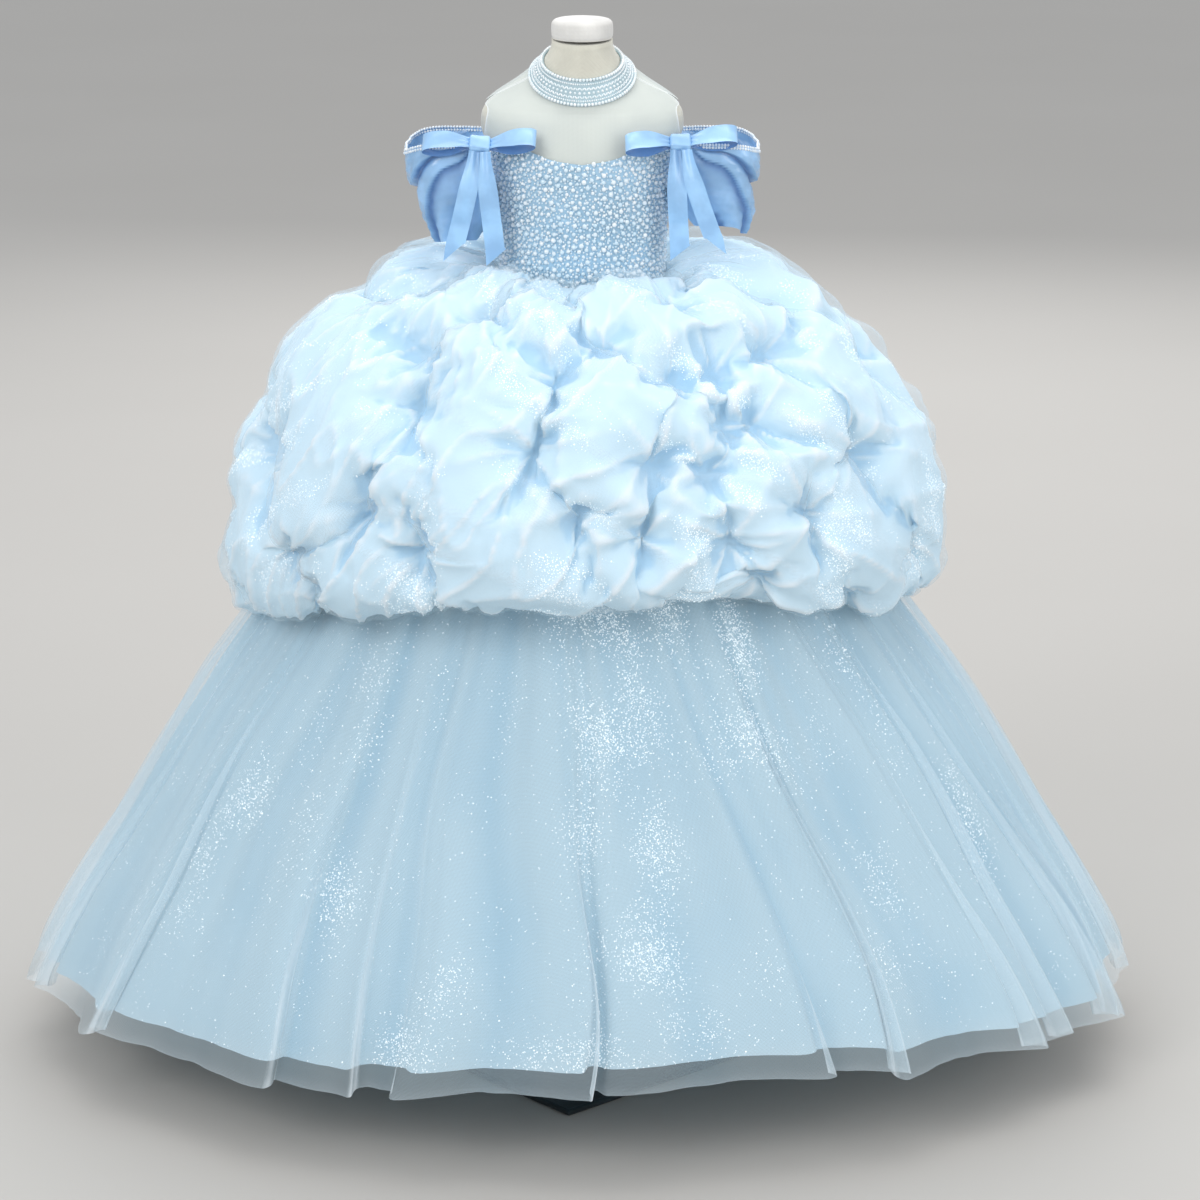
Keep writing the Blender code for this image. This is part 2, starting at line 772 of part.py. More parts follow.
def bubble_hem(angle):
    """Height of the overskirt's lower edge."""
    folded = (angle + 180.0) % 360.0 - 180.0
    return smooth_value(BUBBLE_HEM, folded, 1)


def puff_base(angle, part):
    """Point of the overskirt without its puffs."""
    half_width = smooth_value(PUFF_PROFILE, part, 1)
    half_depth = smooth_value(PUFF_PROFILE, part, 2)
    drop = smooth_value(PUFF_PROFILE, part, 3)
    height = WAIST_HEIGHT - SEAM - (WAIST_HEIGHT - bubble_hem(angle)) * drop
    tuck = min(1.0, max(0.0, (part - PUFF_TUCK) / (1.0 - PUFF_TUCK)))
    profile = SKIRT_PROFILE[::-1]
    spare = PUFF_WALL + PUFF_SEAT
    half_width += (smooth_value(profile, height, 1) + spare - half_width) * tuck
    half_depth += (smooth_value(profile, height, 2) + spare - half_depth) * tuck
    return ring_point(half_width, half_depth, angle, height)


def puff_swell(angle, part):
    """How far the cloth billows out: not at all at a tack, and fullest away from them."""
    reach = smooth_value(PUFF_PROFILE, part, 1)
    nearest = min(
        math.hypot(math.radians((angle - tack + 180.0) % 360.0 - 180.0) * reach,
                   (part - place) * PUFF_DROP)
        for tack, place in TACKS
    )
    return PUFF_FULLNESS * (1.0 - math.exp(-(nearest / TACK_REACH) ** 2))


def puff_surface(angle, part):
    """Point of the overskirt's outer side, with the puffs sunk a little by their weight."""
    step, move = 1.0, 0.01
    across = puff_base(angle + step, part) - puff_base(angle - step, part)
    down = puff_base(angle, min(1.0, part + move)) - puff_base(angle, max(0.0, part - move))
    normal = down.cross(across).normalized()
    calm = min(1.0, part / PUFF_RISE) * min(1.0, (1.0 - part) / PUFF_CLOSE)
    swell = puff_swell(angle, part) * calm
    sink = PUFF_SINK * min(1.0, part / 0.4)
    return puff_base(angle, part) + normal * swell + Vector((0.0, 0.0, -sink * swell))


def puff_walls():
    """Outer and inner grid of the whole overskirt, each column at one angle."""
    angles = [PUFF_SEAMS[0] + 360.0 * i / PUFF_COLUMNS for i in range(PUFF_COLUMNS + 1)]
    outer = [[puff_surface(angle, part) for angle in angles] for part in PUFF_LEVELS]
    inner = []
    last = len(PUFF_LEVELS) - 1
    for row in range(len(PUFF_LEVELS)):
        inner_row = []
        for column in range(PUFF_COLUMNS + 1):
            left = outer[row][(column - 1) % PUFF_COLUMNS]
            right = outer[row][(column + 1) % PUFF_COLUMNS]
            above, below = outer[max(row - 1, 0)][column], outer[min(row + 1, last)][column]
            normal = (below - above).cross(right - left).normalized()
            inner_row.append(outer[row][column] - normal * PUFF_WALL)
        inner.append(inner_row)
    return outer, inner


def add_gores(name, outer, inner, breaks, material):
    """Cut a whole skirt into gores at the given columns."""
    places = list(zip(breaks, breaks[1:]))
    for title, (first, last) in zip(("front", "right", "back", "left"), places):
        panels = []
        for grid in (outer, inner):
            panels.append(part_columns([list(row[first:last + 1]) for row in grid]))
        add_wall(name + "_" + title, panels[0][::-1], panels[1][::-1], material)


def add_skirts():
    """Lining, long skirt and puffed overskirt, each in four gores."""
    angles = [360.0 * i / LINING_COLUMNS - 45.0 for i in range(LINING_COLUMNS + 1)]
    outer = [[lining_point(a, level) for a in angles] for level in LINING_LEVELS]
    inner = [[lining_point(a, level, SKIRT_WALL) for a in angles] for level in LINING_LEVELS]
    quarter = LINING_COLUMNS // 4
    add_gores("lining", outer, inner, [quarter * i for i in range(5)], "lining_cloth")

    angles = fold_angles()
    first = angles.index(SKIRT_SEAMS[0])
    angles = angles[first:] + [a + 360.0 for a in angles[:first + 1]]
    outer = [[skirt_point(a, level) for a in angles] for level in SKIRT_LEVELS]
    inner = [[skirt_point(a, level, SKIRT_WALL) for a in angles] for level in SKIRT_LEVELS]
    breaks = [angles.index(a) for a in SKIRT_SEAMS] + [len(angles) - 1]
    add_gores("skirt", outer, inner, breaks, "skirt_tulle")

    outer, inner = puff_walls()
    quarter = PUFF_COLUMNS // 4
    add_gores("overskirt", outer, inner, [quarter * i for i in range(5)], "puff_tulle")


def clear_scene():
    """Remove whatever the scene holds."""
    for item in list(bpy.data.objects):
        bpy.data.objects.remove(item, do_unlink=True)


def main():
    """Build the dress and the form under it."""
    clear_scene()
    add_form()
    add_collar()
    add_yoke("yoke_front", 0.0)
    add_yoke("yoke_back", 180.0)
    add_bodice("bodice_front", 0.0)
    add_bodice("bodice_back", 180.0)
    add_sleeve("left", -1)
    add_sleeve("right", 1)
    add_bow("left")
    add_bow("right")
    add_skirts()


main()
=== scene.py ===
"""Princess dress on a limbless dress form: cloth, pearls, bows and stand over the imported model.

Metres, +Z up, the front faces -Y. Angles run round the dress in degrees: 0 is the front, 90 the
right of the front view. Heights are above the floor.
"""
import math

import bpy
import numpy as np
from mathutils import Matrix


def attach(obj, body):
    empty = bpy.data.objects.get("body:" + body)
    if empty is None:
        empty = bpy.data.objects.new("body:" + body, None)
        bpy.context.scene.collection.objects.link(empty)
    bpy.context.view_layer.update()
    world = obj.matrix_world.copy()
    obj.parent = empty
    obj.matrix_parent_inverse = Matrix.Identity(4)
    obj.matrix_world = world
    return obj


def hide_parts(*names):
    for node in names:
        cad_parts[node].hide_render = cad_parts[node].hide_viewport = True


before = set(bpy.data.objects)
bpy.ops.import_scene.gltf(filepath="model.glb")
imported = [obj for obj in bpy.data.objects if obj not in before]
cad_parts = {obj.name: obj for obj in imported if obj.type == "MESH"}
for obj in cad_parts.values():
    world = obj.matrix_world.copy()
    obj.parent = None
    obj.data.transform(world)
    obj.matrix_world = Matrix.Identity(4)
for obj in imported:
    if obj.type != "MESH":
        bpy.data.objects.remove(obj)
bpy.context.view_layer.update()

bl_info = {
    "name": "Princess dress on a dress form",
    "version": (1, 0, 0),
    "blender": (4, 5, 0),
    "location": "3D View > Sidebar > Dress",
    "description": "Builds the cloth, pearls and bows of a princess dress on its form",
    "category": "Object",
}

# Sizes that the scene shares with the solids
FORM_CLEARANCE = 0.0012
YOKE_CLEARANCE = 0.0030
FORM_EASE = 0.0012
BODICE_WALL = 0.0024
WAIST_HEIGHT = 0.9250
YOKE_HALF_WIDTH = 0.112
NECK_BASE_HEIGHT = 1.190
COLLAR_GAP = 0.0005
COLLAR_WALL = 0.0036
SATIN_WALL = 0.0015
TORSO_FOOT = 0.880

# One tilted ring of the dress form for each row, lower in front by the tilt
TORSO_RINGS = (
    # height, tilt, half width, half depth
    (0.880, 0.0000, 0.1040, 0.0880),
    (0.915, 0.0000, 0.0970, 0.0810),
    (0.945, 0.0000, 0.0940, 0.0780),
    (0.985, 0.0000, 0.0945, 0.0800),
    (1.030, 0.0000, 0.0960, 0.0840),
    (1.070, 0.0000, 0.0985, 0.0860),
    (1.100, 0.0000, 0.1060, 0.0840),
    (1.125, 0.0020, 0.1190, 0.0780),
    (1.145, 0.0040, 0.1210, 0.0700),
    (1.158, 0.0080, 0.1160, 0.0640),
    (1.168, 0.0130, 0.1040, 0.0600),
    (1.178, 0.0190, 0.0840, 0.0585),
    (1.190, 0.0260, 0.0620, 0.0570),
    (1.2105, 0.0155, 0.0445, 0.0455),
    (1.228, 0.0060, 0.0365, 0.0380),
    (1.236, 0.0030, 0.0360, 0.0372),
)
NECKLINE = (
    # angle, height
    (0.0, 1.100),
    (20.0, 1.106),
    (40.0, 1.121),
    (58.0, 1.126),
    (75.0, 1.108),
    (90.0, 1.096),
    (105.0, 1.104),
    (125.0, 1.118),
    (150.0, 1.116),
    (180.0, 1.112),
)
NECK_CAP_PROFILE = (
    # part of the way, radius, height
    (0.00, 0.0345, 1.2366),
    (0.12, 0.0362, 1.2408),
    (0.50, 0.0362, 1.2530),
    (0.66, 0.0345, 1.2570),
    (0.78, 0.0300, 1.2594),
    (0.90, 0.0160, 1.2607),
    (1.00, 0.0004, 1.2610),
)
SKIRT_PROFILE = (
    # height, half width, half depth
    (0.060, 0.664, 0.522),
    (0.103, 0.652, 0.512),
    (0.202, 0.602, 0.475),
    (0.280, 0.555, 0.440),
    (0.436, 0.470, 0.375),
    (0.525, 0.410, 0.335),
    (0.576, 0.375, 0.315),
    (0.657, 0.330, 0.280),
    (0.740, 0.280, 0.240),
    (0.820, 0.215, 0.185),
    (0.880, 0.140, 0.120),
    (0.910, 0.107, 0.091),
    (0.9247, 0.1011, 0.0851),
)
LINING_PROFILE = (
    # height, half width, half depth
    (0.150, 0.585, 0.465),
    (0.280, 0.518, 0.408),
    (0.436, 0.435, 0.345),
    (0.657, 0.305, 0.255),
    (0.820, 0.195, 0.165),
    (0.9247, 0.0990, 0.0830),
)
LINING_WAVES = 22
LINING_WAVE = 0.008

# Long soft folds of the skirt, each from its own start angle to the next one's
FOLD_START = 0.760
FOLD_FULL = 0.080
FALL = 0.62
FOLDS = (
    # start angle, depth at the hem, lean of the crest, how far it falls over its neighbour, drift
    (-92.0, 0.030, 0.40, 0.50, -4.0),
    (-78.0, 0.026, 0.60, -0.60, -5.0),
    (-66.0, 0.032, 0.62, 0.45, -6.0),
    (-55.0, 0.022, 0.38, -0.75, -5.0),
    (-44.0, 0.034, 0.64, 0.60, -3.0),
    (-33.0, 0.026, 0.36, 0.85, 0.0),
    (-23.0, 0.024, 0.62, -0.70, 2.0),
    (-14.0, 0.030, 0.60, 0.50, 3.0),
    (-3.0, 0.020, 0.40, -0.35, 5.0),
    (7.0, 0.024, 0.42, 0.95, 9.0),
    (15.0, 0.030, 0.66, 0.60, 11.0),
    (23.0, 0.024, 0.34, -0.55, 11.0),
    (32.0, 0.030, 0.60, 0.70, 11.0),
    (41.0, 0.026, 0.36, 0.95, 11.0),
    (51.0, 0.030, 0.64, 0.60, 9.0),
    (62.0, 0.034, 0.60, -0.60, 7.0),
    (74.0, 0.024, 0.40, 0.80, 5.0),
    (86.0, 0.030, 0.60, 0.50, 3.0),
    (99.0, 0.026, 0.38, -0.70, 0.0),
    (113.0, 0.034, 0.62, 0.60, -3.0),
    (128.0, 0.024, 0.40, -0.45, -5.0),
    (142.0, 0.030, 0.60, 0.75, -4.0),
    (157.0, 0.022, 0.64, -0.60, 0.0),
    (171.0, 0.032, 0.38, 0.70, 4.0),
    (186.0, 0.024, 0.60, -0.50, 6.0),
    (200.0, 0.034, 0.40, 0.65, 4.0),
    (214.0, 0.026, 0.62, -0.75, 0.0),
    (228.0, 0.030, 0.36, 0.55, -3.0),
    (242.0, 0.022, 0.60, -0.60, -5.0),
    (255.0, 0.032, 0.42, 0.70, -5.0),
)
SKIRT_SEAMS = (4, 14, 21, 27)

# Overskirt without its puffs, from the waist seam out, down and back in
PUFF_PROFILE = (
    # part of the way, half width, half depth, part of the drop
    (0.00, 0.1016, 0.0856, 0.000),
    (0.05, 0.120, 0.102, -0.060),
    (0.12, 0.160, 0.138, -0.080),
    (0.22, 0.218, 0.192, -0.020),
    (0.33, 0.272, 0.242, 0.120),
    (0.45, 0.322, 0.288, 0.320),
    (0.58, 0.362, 0.322, 0.540),
    (0.70, 0.386, 0.344, 0.740),
    (0.80, 0.398, 0.354, 0.880),
    (0.88, 0.398, 0.352, 0.970),
    (0.95, 0.388, 0.338, 1.020),
    (1.00, 0.372, 0.318, 1.030),
)
BUBBLE_HEM = (
    # angle, height
    (-180.0, 0.590),
    (-130.0, 0.585),
    (-85.0, 0.578),
    (-50.0, 0.615),
    (-20.0, 0.655),
    (0.0, 0.665),
    (25.0, 0.655),
    (45.0, 0.632),
    (75.0, 0.612),
    (100.0, 0.600),
    (135.0, 0.585),
    (180.0, 0.590),
)
PUFF_TUCK = 0.90
PUFF_SPARE = 0.0134
PUFF_DROP = 0.56
PUFF_FULLNESS = 0.036
TACK_REACH = 0.045
PUFF_ROOM = (0.016, 0.044)
HOLLOW_DEPTH = 0.004
VEIL_CLEARANCE = 0.0015
# Bulge sizes over which the puffs go from painted shade in hollows to painted light on billows, and
# over which sharp folds get denser net with a painted highlight
BILLOW = 0.014
RIPPLE = 0.0065
FOLD_EDGE = (0.0007, 0.0032)
PUFF_COLUMNS = 300
PUFF_ROWS = 74
DRAPE_FRAMES = 36
DRAPE = {
    "quality": 5, "mass": 0.10, "tension_stiffness": 15.0, "compression_stiffness": 15.0,
    "shear_stiffness": 5.0, "bending_stiffness": 0.15, "bending_damping": 0.5, "air_damping": 1.0,
    "vertex_group_mass": "held", "shrink_min": -0.36, "use_pressure": True,
    "uniform_pressure_force": 3.0,
}
WEIGHT = 0.15
NET_PITCH = 2100.0
FLAKE_LIFT = 0.0008
SKIRT_GLITTER = 330000.0
PUFF_GLITTER = 190000.0
TACK_HALF = 0.006
CREASE_REACH = 0.085
TACKS = (
    # angle, part of the way
    (-38.0, 0.34),
    (-34.0, 0.44),
    (-38.0, 0.64),
    (-6.0, 0.38),
    (-9.0, 0.52),
    (-26.0, 0.74),
    (-53.0, 0.73),
    (-27.0, 0.25),
    (-68.0, 0.55),
    (-1.0, 0.66),
    (-48.0, 0.86),
    (5.0, 0.31),
    (19.0, 0.38),
    (30.0, 0.37),
    (28.0, 0.48),
    (35.0, 0.48),
    (12.0, 0.55),
    (23.0, 0.58),
    (10.0, 0.71),
    (25.0, 0.74),
    (30.0, 0.85),
    (40.0, 0.66),
    (10.0, 0.93),
    (65.0, 0.24),
    (47.0, 0.34),
    (66.0, 0.76),
    (84.0, 0.40),
    (91.0, 0.66),
    (-92.0, 0.30),
    (-88.0, 0.46),
    (-84.0, 0.68),
    (55.0, 0.55),
    (-20.0, 0.93),
    (-72.0, 0.88),
    (50.0, 0.90),
    (78.0, 0.90),
    (-62.0, 0.22),
    (-8.0, 0.17),
    (30.0, 0.20),
    (104.0, 0.30),
    (128.0, 0.42),
    (150.0, 0.28),
    (174.0, 0.44),
    (197.0, 0.30),
    (220.0, 0.42),
    (243.0, 0.28),
    (112.0, 0.55),
    (138.0, 0.68),
    (160.0, 0.56),
    (184.0, 0.70),
    (206.0, 0.58),
    (230.0, 0.66),
    (252.0, 0.52),
    (105.0, 0.80),
    (128.0, 0.86),
    (152.0, 0.84),
    (176.0, 0.90),
    (200.0, 0.84),
    (222.0, 0.88),
    (246.0, 0.82),
    (262.0, 0.66),
)

# Clusters of glitter on the long skirt
GLITTER_PATCHES = (
    # angle, height, half width, half height, strength
    (4.0, 0.62, 0.055, 0.035, 1.0),
    (6.0, 0.52, 0.040, 0.085, 1.0),
    (6.0, 0.37, 0.035, 0.090, 1.0),
    (7.0, 0.22, 0.030, 0.050, 0.9),
    (28.0, 0.57, 0.035, 0.050, 0.9),
    (27.0, 0.47, 0.045, 0.035, 0.9),
    (19.0, 0.64, 0.040, 0.030, 0.8),
    (-48.0, 0.38, 0.060, 0.022, 1.0),
    (-57.0, 0.28, 0.022, 0.055, 0.9),
    (-32.0, 0.31, 0.030, 0.030, 0.9),
    (-14.0, 0.22, 0.030, 0.016, 1.0),
    (-18.0, 0.15, 0.045, 0.016, 0.7),
    (0.0, 0.15, 0.060, 0.016, 0.8),
    (50.0, 0.56, 0.020, 0.060, 0.7),
    (60.0, 0.33, 0.025, 0.060, 0.7),
    (14.0, 0.17, 0.050, 0.014, 0.7),
    (-38.0, 0.50, 0.040, 0.040, 0.5),
    (40.0, 0.25, 0.030, 0.070, 0.5),
)

SLEEVE_RINGS = {
    "left": (
        # height, distance of the middle, half width, half depth
        (0.990, 0.1430, 0.0235, 0.0330),
        (1.010, 0.1460, 0.0275, 0.0370),
        (1.035, 0.1480, 0.0365, 0.0430),
        (1.065, 0.1495, 0.0457, 0.0520),
        (1.090, 0.1530, 0.0475, 0.0580),
        (1.120, 0.1545, 0.0520, 0.0600),
    ),
    "right": (
        (0.990, 0.1560, 0.0290, 0.0330),
        (1.010, 0.1590, 0.0305, 0.0370),
        (1.035, 0.1570, 0.0400, 0.0430),
        (1.065, 0.1510, 0.0472, 0.0520),
        (1.090, 0.1535, 0.0480, 0.0600),
        (1.120, 0.1540, 0.0505, 0.0632),
    ),
}
SLEEVE_EDGES = {
    # next to the body, in front and behind, outside
    "left": {"rim": (1.066, 1.121, 1.108), "hem": (1.010, 1.002, 0.996)},
    "right": {"rim": (1.066, 1.121, 1.110), "hem": (1.040, 1.020, 1.006)},
}
SLEEVE_SQUARENESS = 3.5
KNOT_TURN = 1.15
SLEEVE_REACH = 0.050
SLEEVE_DROP = 0.115
PLEATS = (
    # part of the fan between the rim and straight down, swell, painted shade in the pocket
    (0.00, 0.0010, 0.0),
    (0.05, 0.0042, 0.0),
    (0.18, 0.0072, 0.0),
    (0.282, 0.0074, 0.0),
    (0.300, 0.0066, 0.0),
    (0.312, -0.0014, 1.0),
    (0.350, -0.0020, 0.9),
    (0.40, 0.0014, 0.30),
    (0.47, 0.0054, 0.0),
    (0.565, 0.0068, 0.0),
    (0.585, 0.0060, 0.0),
    (0.597, -0.0012, 1.0),
    (0.635, -0.0018, 0.9),
    (0.69, 0.0012, 0.30),
    (0.76, 0.0044, 0.0),
    (0.845, 0.0052, 0.0),
    (0.862, 0.0044, 0.0),
    (0.874, -0.0008, 1.0),
    (0.92, -0.0004, 0.8),
    (1.00, 0.0012, 0.3),
)

BOWS = {
    "left": {
        "knot": (-0.1195, -0.0679, 1.1225),
        "turn": -4.0,
        "loops": (
            # side, length, turn, part of its length that it comes forward
            (-1, 0.056, -4.0, 0.05),
            (1, 0.060, 14.0, 0.38),
        ),
        "tails": (
            # shift along, drop, spread at the foot, slant of the cut
            (-0.006, 0.122, -0.026, -0.010),
            (0.007, 0.126, 0.012, -0.010),
        ),
    },
    "right": {
        "knot": (0.1150, -0.0671, 1.1245),
        "turn": 2.0,
        "loops": (
            (-1, 0.060, 4.0, 0.50),
            (1, 0.056, 6.0, 0.05),
        ),
        "tails": (
            (-0.006, 0.124, 0.006, -0.009),
            (0.007, 0.116, 0.036, 0.009),
        ),
    },
}
KNOT_SIZE = (0.024, 0.013, 0.021)
LOOP_HEIGHT = 0.021
LOOP_PINCH = 0.0016
BOW_TILT = 48.0
TAIL_BULGE = 0.006
TAIL_FALL = 0.004
TAIL_LAYER = 0.0021
TAIL_DROP = 0.0012

# Camera at the photograph's angle
CAMERA_PLACE = (0.021, -5.0, 1.95)
CAMERA_TILT = 74.36
CAMERA_LENS = 127.7


class DressSizes(bpy.types.PropertyGroup):
    """Sizes that a maker would change."""

    crease_height: bpy.props.FloatProperty(
        name="Crease height", description="Height of the sharp creases of the puffs",
        default=0.0085, min=0.0, unit="LENGTH")
    veil_gap: bpy.props.FloatProperty(
        name="Sheer layer gap", description="Room between the puffs and their sheer outer layer",
        default=0.0035, min=0.0, unit="LENGTH")
    veil_ruffle: bpy.props.FloatProperty(
        name="Sheer layer ruffle", description="How far the sheer outer layer floats off the puffs",
        default=0.0110, min=0.0, unit="LENGTH")
    layer_gap: bpy.props.FloatProperty(
        name="Skirt layer gap", description="Room between the two tulle layers of the long skirt",
        default=0.0110, min=0.0, unit="LENGTH")
    pearl_small: bpy.props.FloatProperty(
        name="Small pearl", description="Diameter of the small pearls of the bodice",
        default=0.0034, min=0.001, unit="LENGTH")
    pearl_large: bpy.props.FloatProperty(
        name="Large pearl", description="Diameter of the large pearls of the bodice",
        default=0.0066, min=0.001, unit="LENGTH")
    bead: bpy.props.FloatProperty(
        name="Collar bead", description="Diameter of the edge beads of the collar",
        default=0.0042, min=0.001, unit="LENGTH")
    flake: bpy.props.FloatProperty(
        name="Glitter flake", description="Width of a glitter flake",
        default=0.0019, min=0.0005, unit="LENGTH")
    ribbon: bpy.props.FloatProperty(
        name="Ribbon width", description="Width of the bows' ribbon",
        default=0.023, min=0.005, unit="LENGTH")


class DressColours(bpy.types.PropertyGroup):
    """Colours of the cloth, the form and the stand."""

    # The bright puff tulle is painted light on the billows and the deep one is painted shade between
    # the puffs
    tulle: bpy.props.FloatVectorProperty(
        name="Puff tulle", description="Bright side of the puffed tulle",
        default=(0.66, 0.84, 0.95), size=3, subtype="COLOR", min=0.0, max=1.0)
    tulle_painted_shade: bpy.props.FloatVectorProperty(
        name="Puff tulle, deep", description="Tulle between the puffs",
        default=(0.33, 0.59, 0.82), size=3, subtype="COLOR", min=0.0, max=1.0)
    veil: bpy.props.FloatVectorProperty(
        name="Sheer tulle", description="Sheer outer tulle",
        default=(0.70, 0.85, 0.93), size=3, subtype="COLOR", min=0.0, max=1.0)
    lining: bpy.props.FloatVectorProperty(
        name="Lining", description="Opaque lining of the skirt",
        default=(0.45, 0.68, 0.82), size=3, subtype="COLOR", min=0.0, max=1.0)
    satin: bpy.props.FloatVectorProperty(
        name="Satin", description="Satin of the sleeves and bows",
        default=(0.27, 0.47, 0.72), size=3, subtype="COLOR", min=0.0, max=1.0)
    bodice: bpy.props.FloatVectorProperty(
        name="Bodice cloth", description="Cloth under the pearls",
        default=(0.41, 0.62, 0.79), size=3, subtype="COLOR", min=0.0, max=1.0)
    form: bpy.props.FloatVectorProperty(
        name="Form cloth", description="Cover of the dress form",
        default=(0.72, 0.70, 0.60), size=3, subtype="COLOR", min=0.0, max=1.0)
    stand: bpy.props.FloatVectorProperty(
        name="Stand paint", description="Paint of the pole and the base",
        default=(0.010, 0.018, 0.022), size=3, subtype="COLOR", min=0.0, max=1.0)


def curve(rows, at, column):
    """Values of one column of a table at places between its rows, without kinks."""
    table = np.array(rows, float)
    places, values = table[:, 0], table[:, column]
    at = np.clip(np.asarray(at, float), places[0], places[-1])
    last = len(places) - 1
    index = np.clip(np.searchsorted(places, at, side="right") - 1, 0, last - 1)
    low = np.maximum(np.arange(last + 1) - 1, 0)
    high = np.minimum(np.arange(last + 1) + 1, last)
    slopes = (values[high] - values[low]) / (places[high] - places[low])
    span = places[index + 1] - places[index]
    t = (at - places[index]) / span
    return (
        (2 * t ** 3 - 3 * t ** 2 + 1) * values[index]
        + (t ** 3 - 2 * t ** 2 + t) * span * slopes[index]
        + (3 * t ** 2 - 2 * t ** 3) * values[index + 1]
        + (t ** 3 - t ** 2) * span * slopes[index + 1]
    )


def step(low, high, value):
    """Soft step from 0 below low to 1 above high."""
    t = np.clip((value - low) / (high - low), 0.0, 1.0)
    return t * t * (3.0 - 2.0 * t)


def unit(vectors):
    """The same directions with length 1."""
    return vectors / np.maximum(np.linalg.norm(vectors, axis=-1, keepdims=True), 1e-9)


def turns_of(columns, start=0.0, reach=360.0):
    """A row of angles all round, the last one a step short of the first."""
    return (start + reach * np.arange(columns) / columns)[None, :]


def shares_of(count, low=0.0, high=1.0):
    """A column of evenly spaced values."""
    return np.linspace(low, high, count)[:, None]


def ring(half_width, half_depth, angle, height):
    """Points on oval rings round the axis."""
    turn = np.radians(angle)
    height = height + 0.0 * turn
    return np.stack([half_width * np.sin(turn), -half_depth * np.cos(turn), height], -1)


def torso(angle, height, out):
    """Points at a distance outside the dress form."""
    def surface(a, h):
        level = h - curve(TORSO_RINGS, h, 1) * np.cos(np.radians(a))
        return ring(curve(TORSO_RINGS, h, 2), curve(TORSO_RINGS, h, 3), a, level)

    across = surface(angle + 0.5, height) - surface(angle - 0.5, height)
    up = surface(angle, height + 0.0005) - surface(angle, height - 0.0005)
    away = np.asarray(out + 0.0 * angle)[..., None]
    return surface(angle, height) + unit(np.cross(across, up)) * away


def folded(angle):
    """Angle between -180 and 180."""
    return (angle + 180.0) % 360.0 - 180.0


def neckline(angle):
    """Height of the bodice's upper edge."""
    return curve(NECKLINE, np.abs(folded(angle)), 1)


def soft_noise(x, y, seed, count=5):
    """Smooth uneven waves between about -1 and 1, the same on each run."""
    chance = np.random.default_rng(seed)
    total = np.zeros(np.broadcast(x, y).shape)
    for _ in range(count):
        turn = chance.uniform(0.0, math.pi)
        pace = chance.uniform(0.6, 1.5)
        phase = chance.uniform(0.0, 2.0 * math.pi)
        total += np.sin(2.0 * math.pi * pace * (x * math.cos(turn) + y * math.sin(turn)) + phase)
    return total / count ** 0.5 / 1.2


def add_cloth(name, points, material, closed=False, downward=False, marks=None):
    """Cloth through a grid of points, with its own lengths as its map and marks for its colour."""
    rows, columns = points.shape[:2]
    span = columns if closed else columns - 1
    row, column = np.meshgrid(np.arange(rows - 1), np.arange(span), indexing="ij")
    corners = [(row, column), (row, column + 1), (row + 1, column + 1), (row + 1, column)]
    if downward:
        corners = corners[::-1]
    faces = np.stack([r * columns + c % columns for r, c in corners], -1).reshape(-1, 4)
    mesh = bpy.data.meshes.new(name)
    mesh.from_pydata(points.reshape(-1, 3).tolist(), [], faces.tolist())
    wide = np.concatenate([points, points[:, :1]], 1) if closed else points
    along = np.cumsum(np.linalg.norm(np.diff(wide, axis=1), axis=2), axis=1)
    along = np.concatenate([np.zeros((rows, 1)), along], 1)
    along -= along[:, -1:] / 2.0
    down = np.cumsum(np.linalg.norm(np.diff(wide, axis=0), axis=2), axis=0)
    down = np.concatenate([np.zeros((1, wide.shape[1])), down], 0)
    chart = np.stack([along, down], -1)
    places = np.stack([chart[r, c] for r, c in corners], -2).reshape(-1, 2)
    layer = mesh.uv_layers.new(name="cloth")
    layer.data.foreach_set("uv", places.astype(np.float32).ravel())
    for title, values in (marks or {}).items():
        mark = mesh.attributes.new(title, "FLOAT", "POINT")
        mark.data.foreach_set("value", np.ascontiguousarray(values, np.float32).ravel())
    mesh.shade_smooth()
    mesh.materials.append(material)
    piece = bpy.data.objects.new(name, mesh)
    bpy.context.scene.collection.objects.link(piece)
    return piece


def settle(piece, slot, *nodes):
    """Ride on the one body and stand for the given solids, which are hidden."""
    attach(piece, "root")
    if nodes:
        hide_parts(*nodes)
    return piece


def add_node(tree, kind, settings=None, **inputs):
    """Node with its settings, its values and its links."""
    made = tree.nodes.new(kind)
    for key, value in (settings or {}).items():
        setattr(made, key, value)
    for key, value in inputs.items():
        name = key.replace("_", " ")
        socket = made.inputs[int(key[1:])] if key[1:].isdigit() else made.inputs[name]
        if isinstance(value, bpy.types.NodeSocket):
            tree.links.new(value, socket)
        else:
            socket.default_value = value
    return made


def calculate(tree, operation, first, second=0.0, clamp=False):
    """Result of one sum on two values."""
    return add_node(tree, "ShaderNodeMath", {"operation": operation, "use_clamp": clamp},
                    i0=first, i1=second).outputs[0]


def blend(tree, share, first, second):
    """Colour between two others."""
    made = add_node(tree, "ShaderNodeMix", {"data_type": "RGBA"})
    for index, value in ((0, share), (6, first), (7, second)):
        socket = made.inputs[index]
        if isinstance(value, bpy.types.NodeSocket):
            tree.links.new(value, socket)
        elif isinstance(value, float):
            socket.default_value = value
        else:
            socket.default_value = (*value[:3], 1.0)
    return made.outputs[2]


def spread(tree, value, low, high, to_low=0.0, to_high=1.0):
    """A range of values moved to another range."""
    return add_node(tree, "ShaderNodeMapRange", {"interpolation_type": "SMOOTHSTEP"}, Value=value,
                    From_Min=low, From_Max=high, To_Min=to_low, To_Max=to_high).outputs[0]


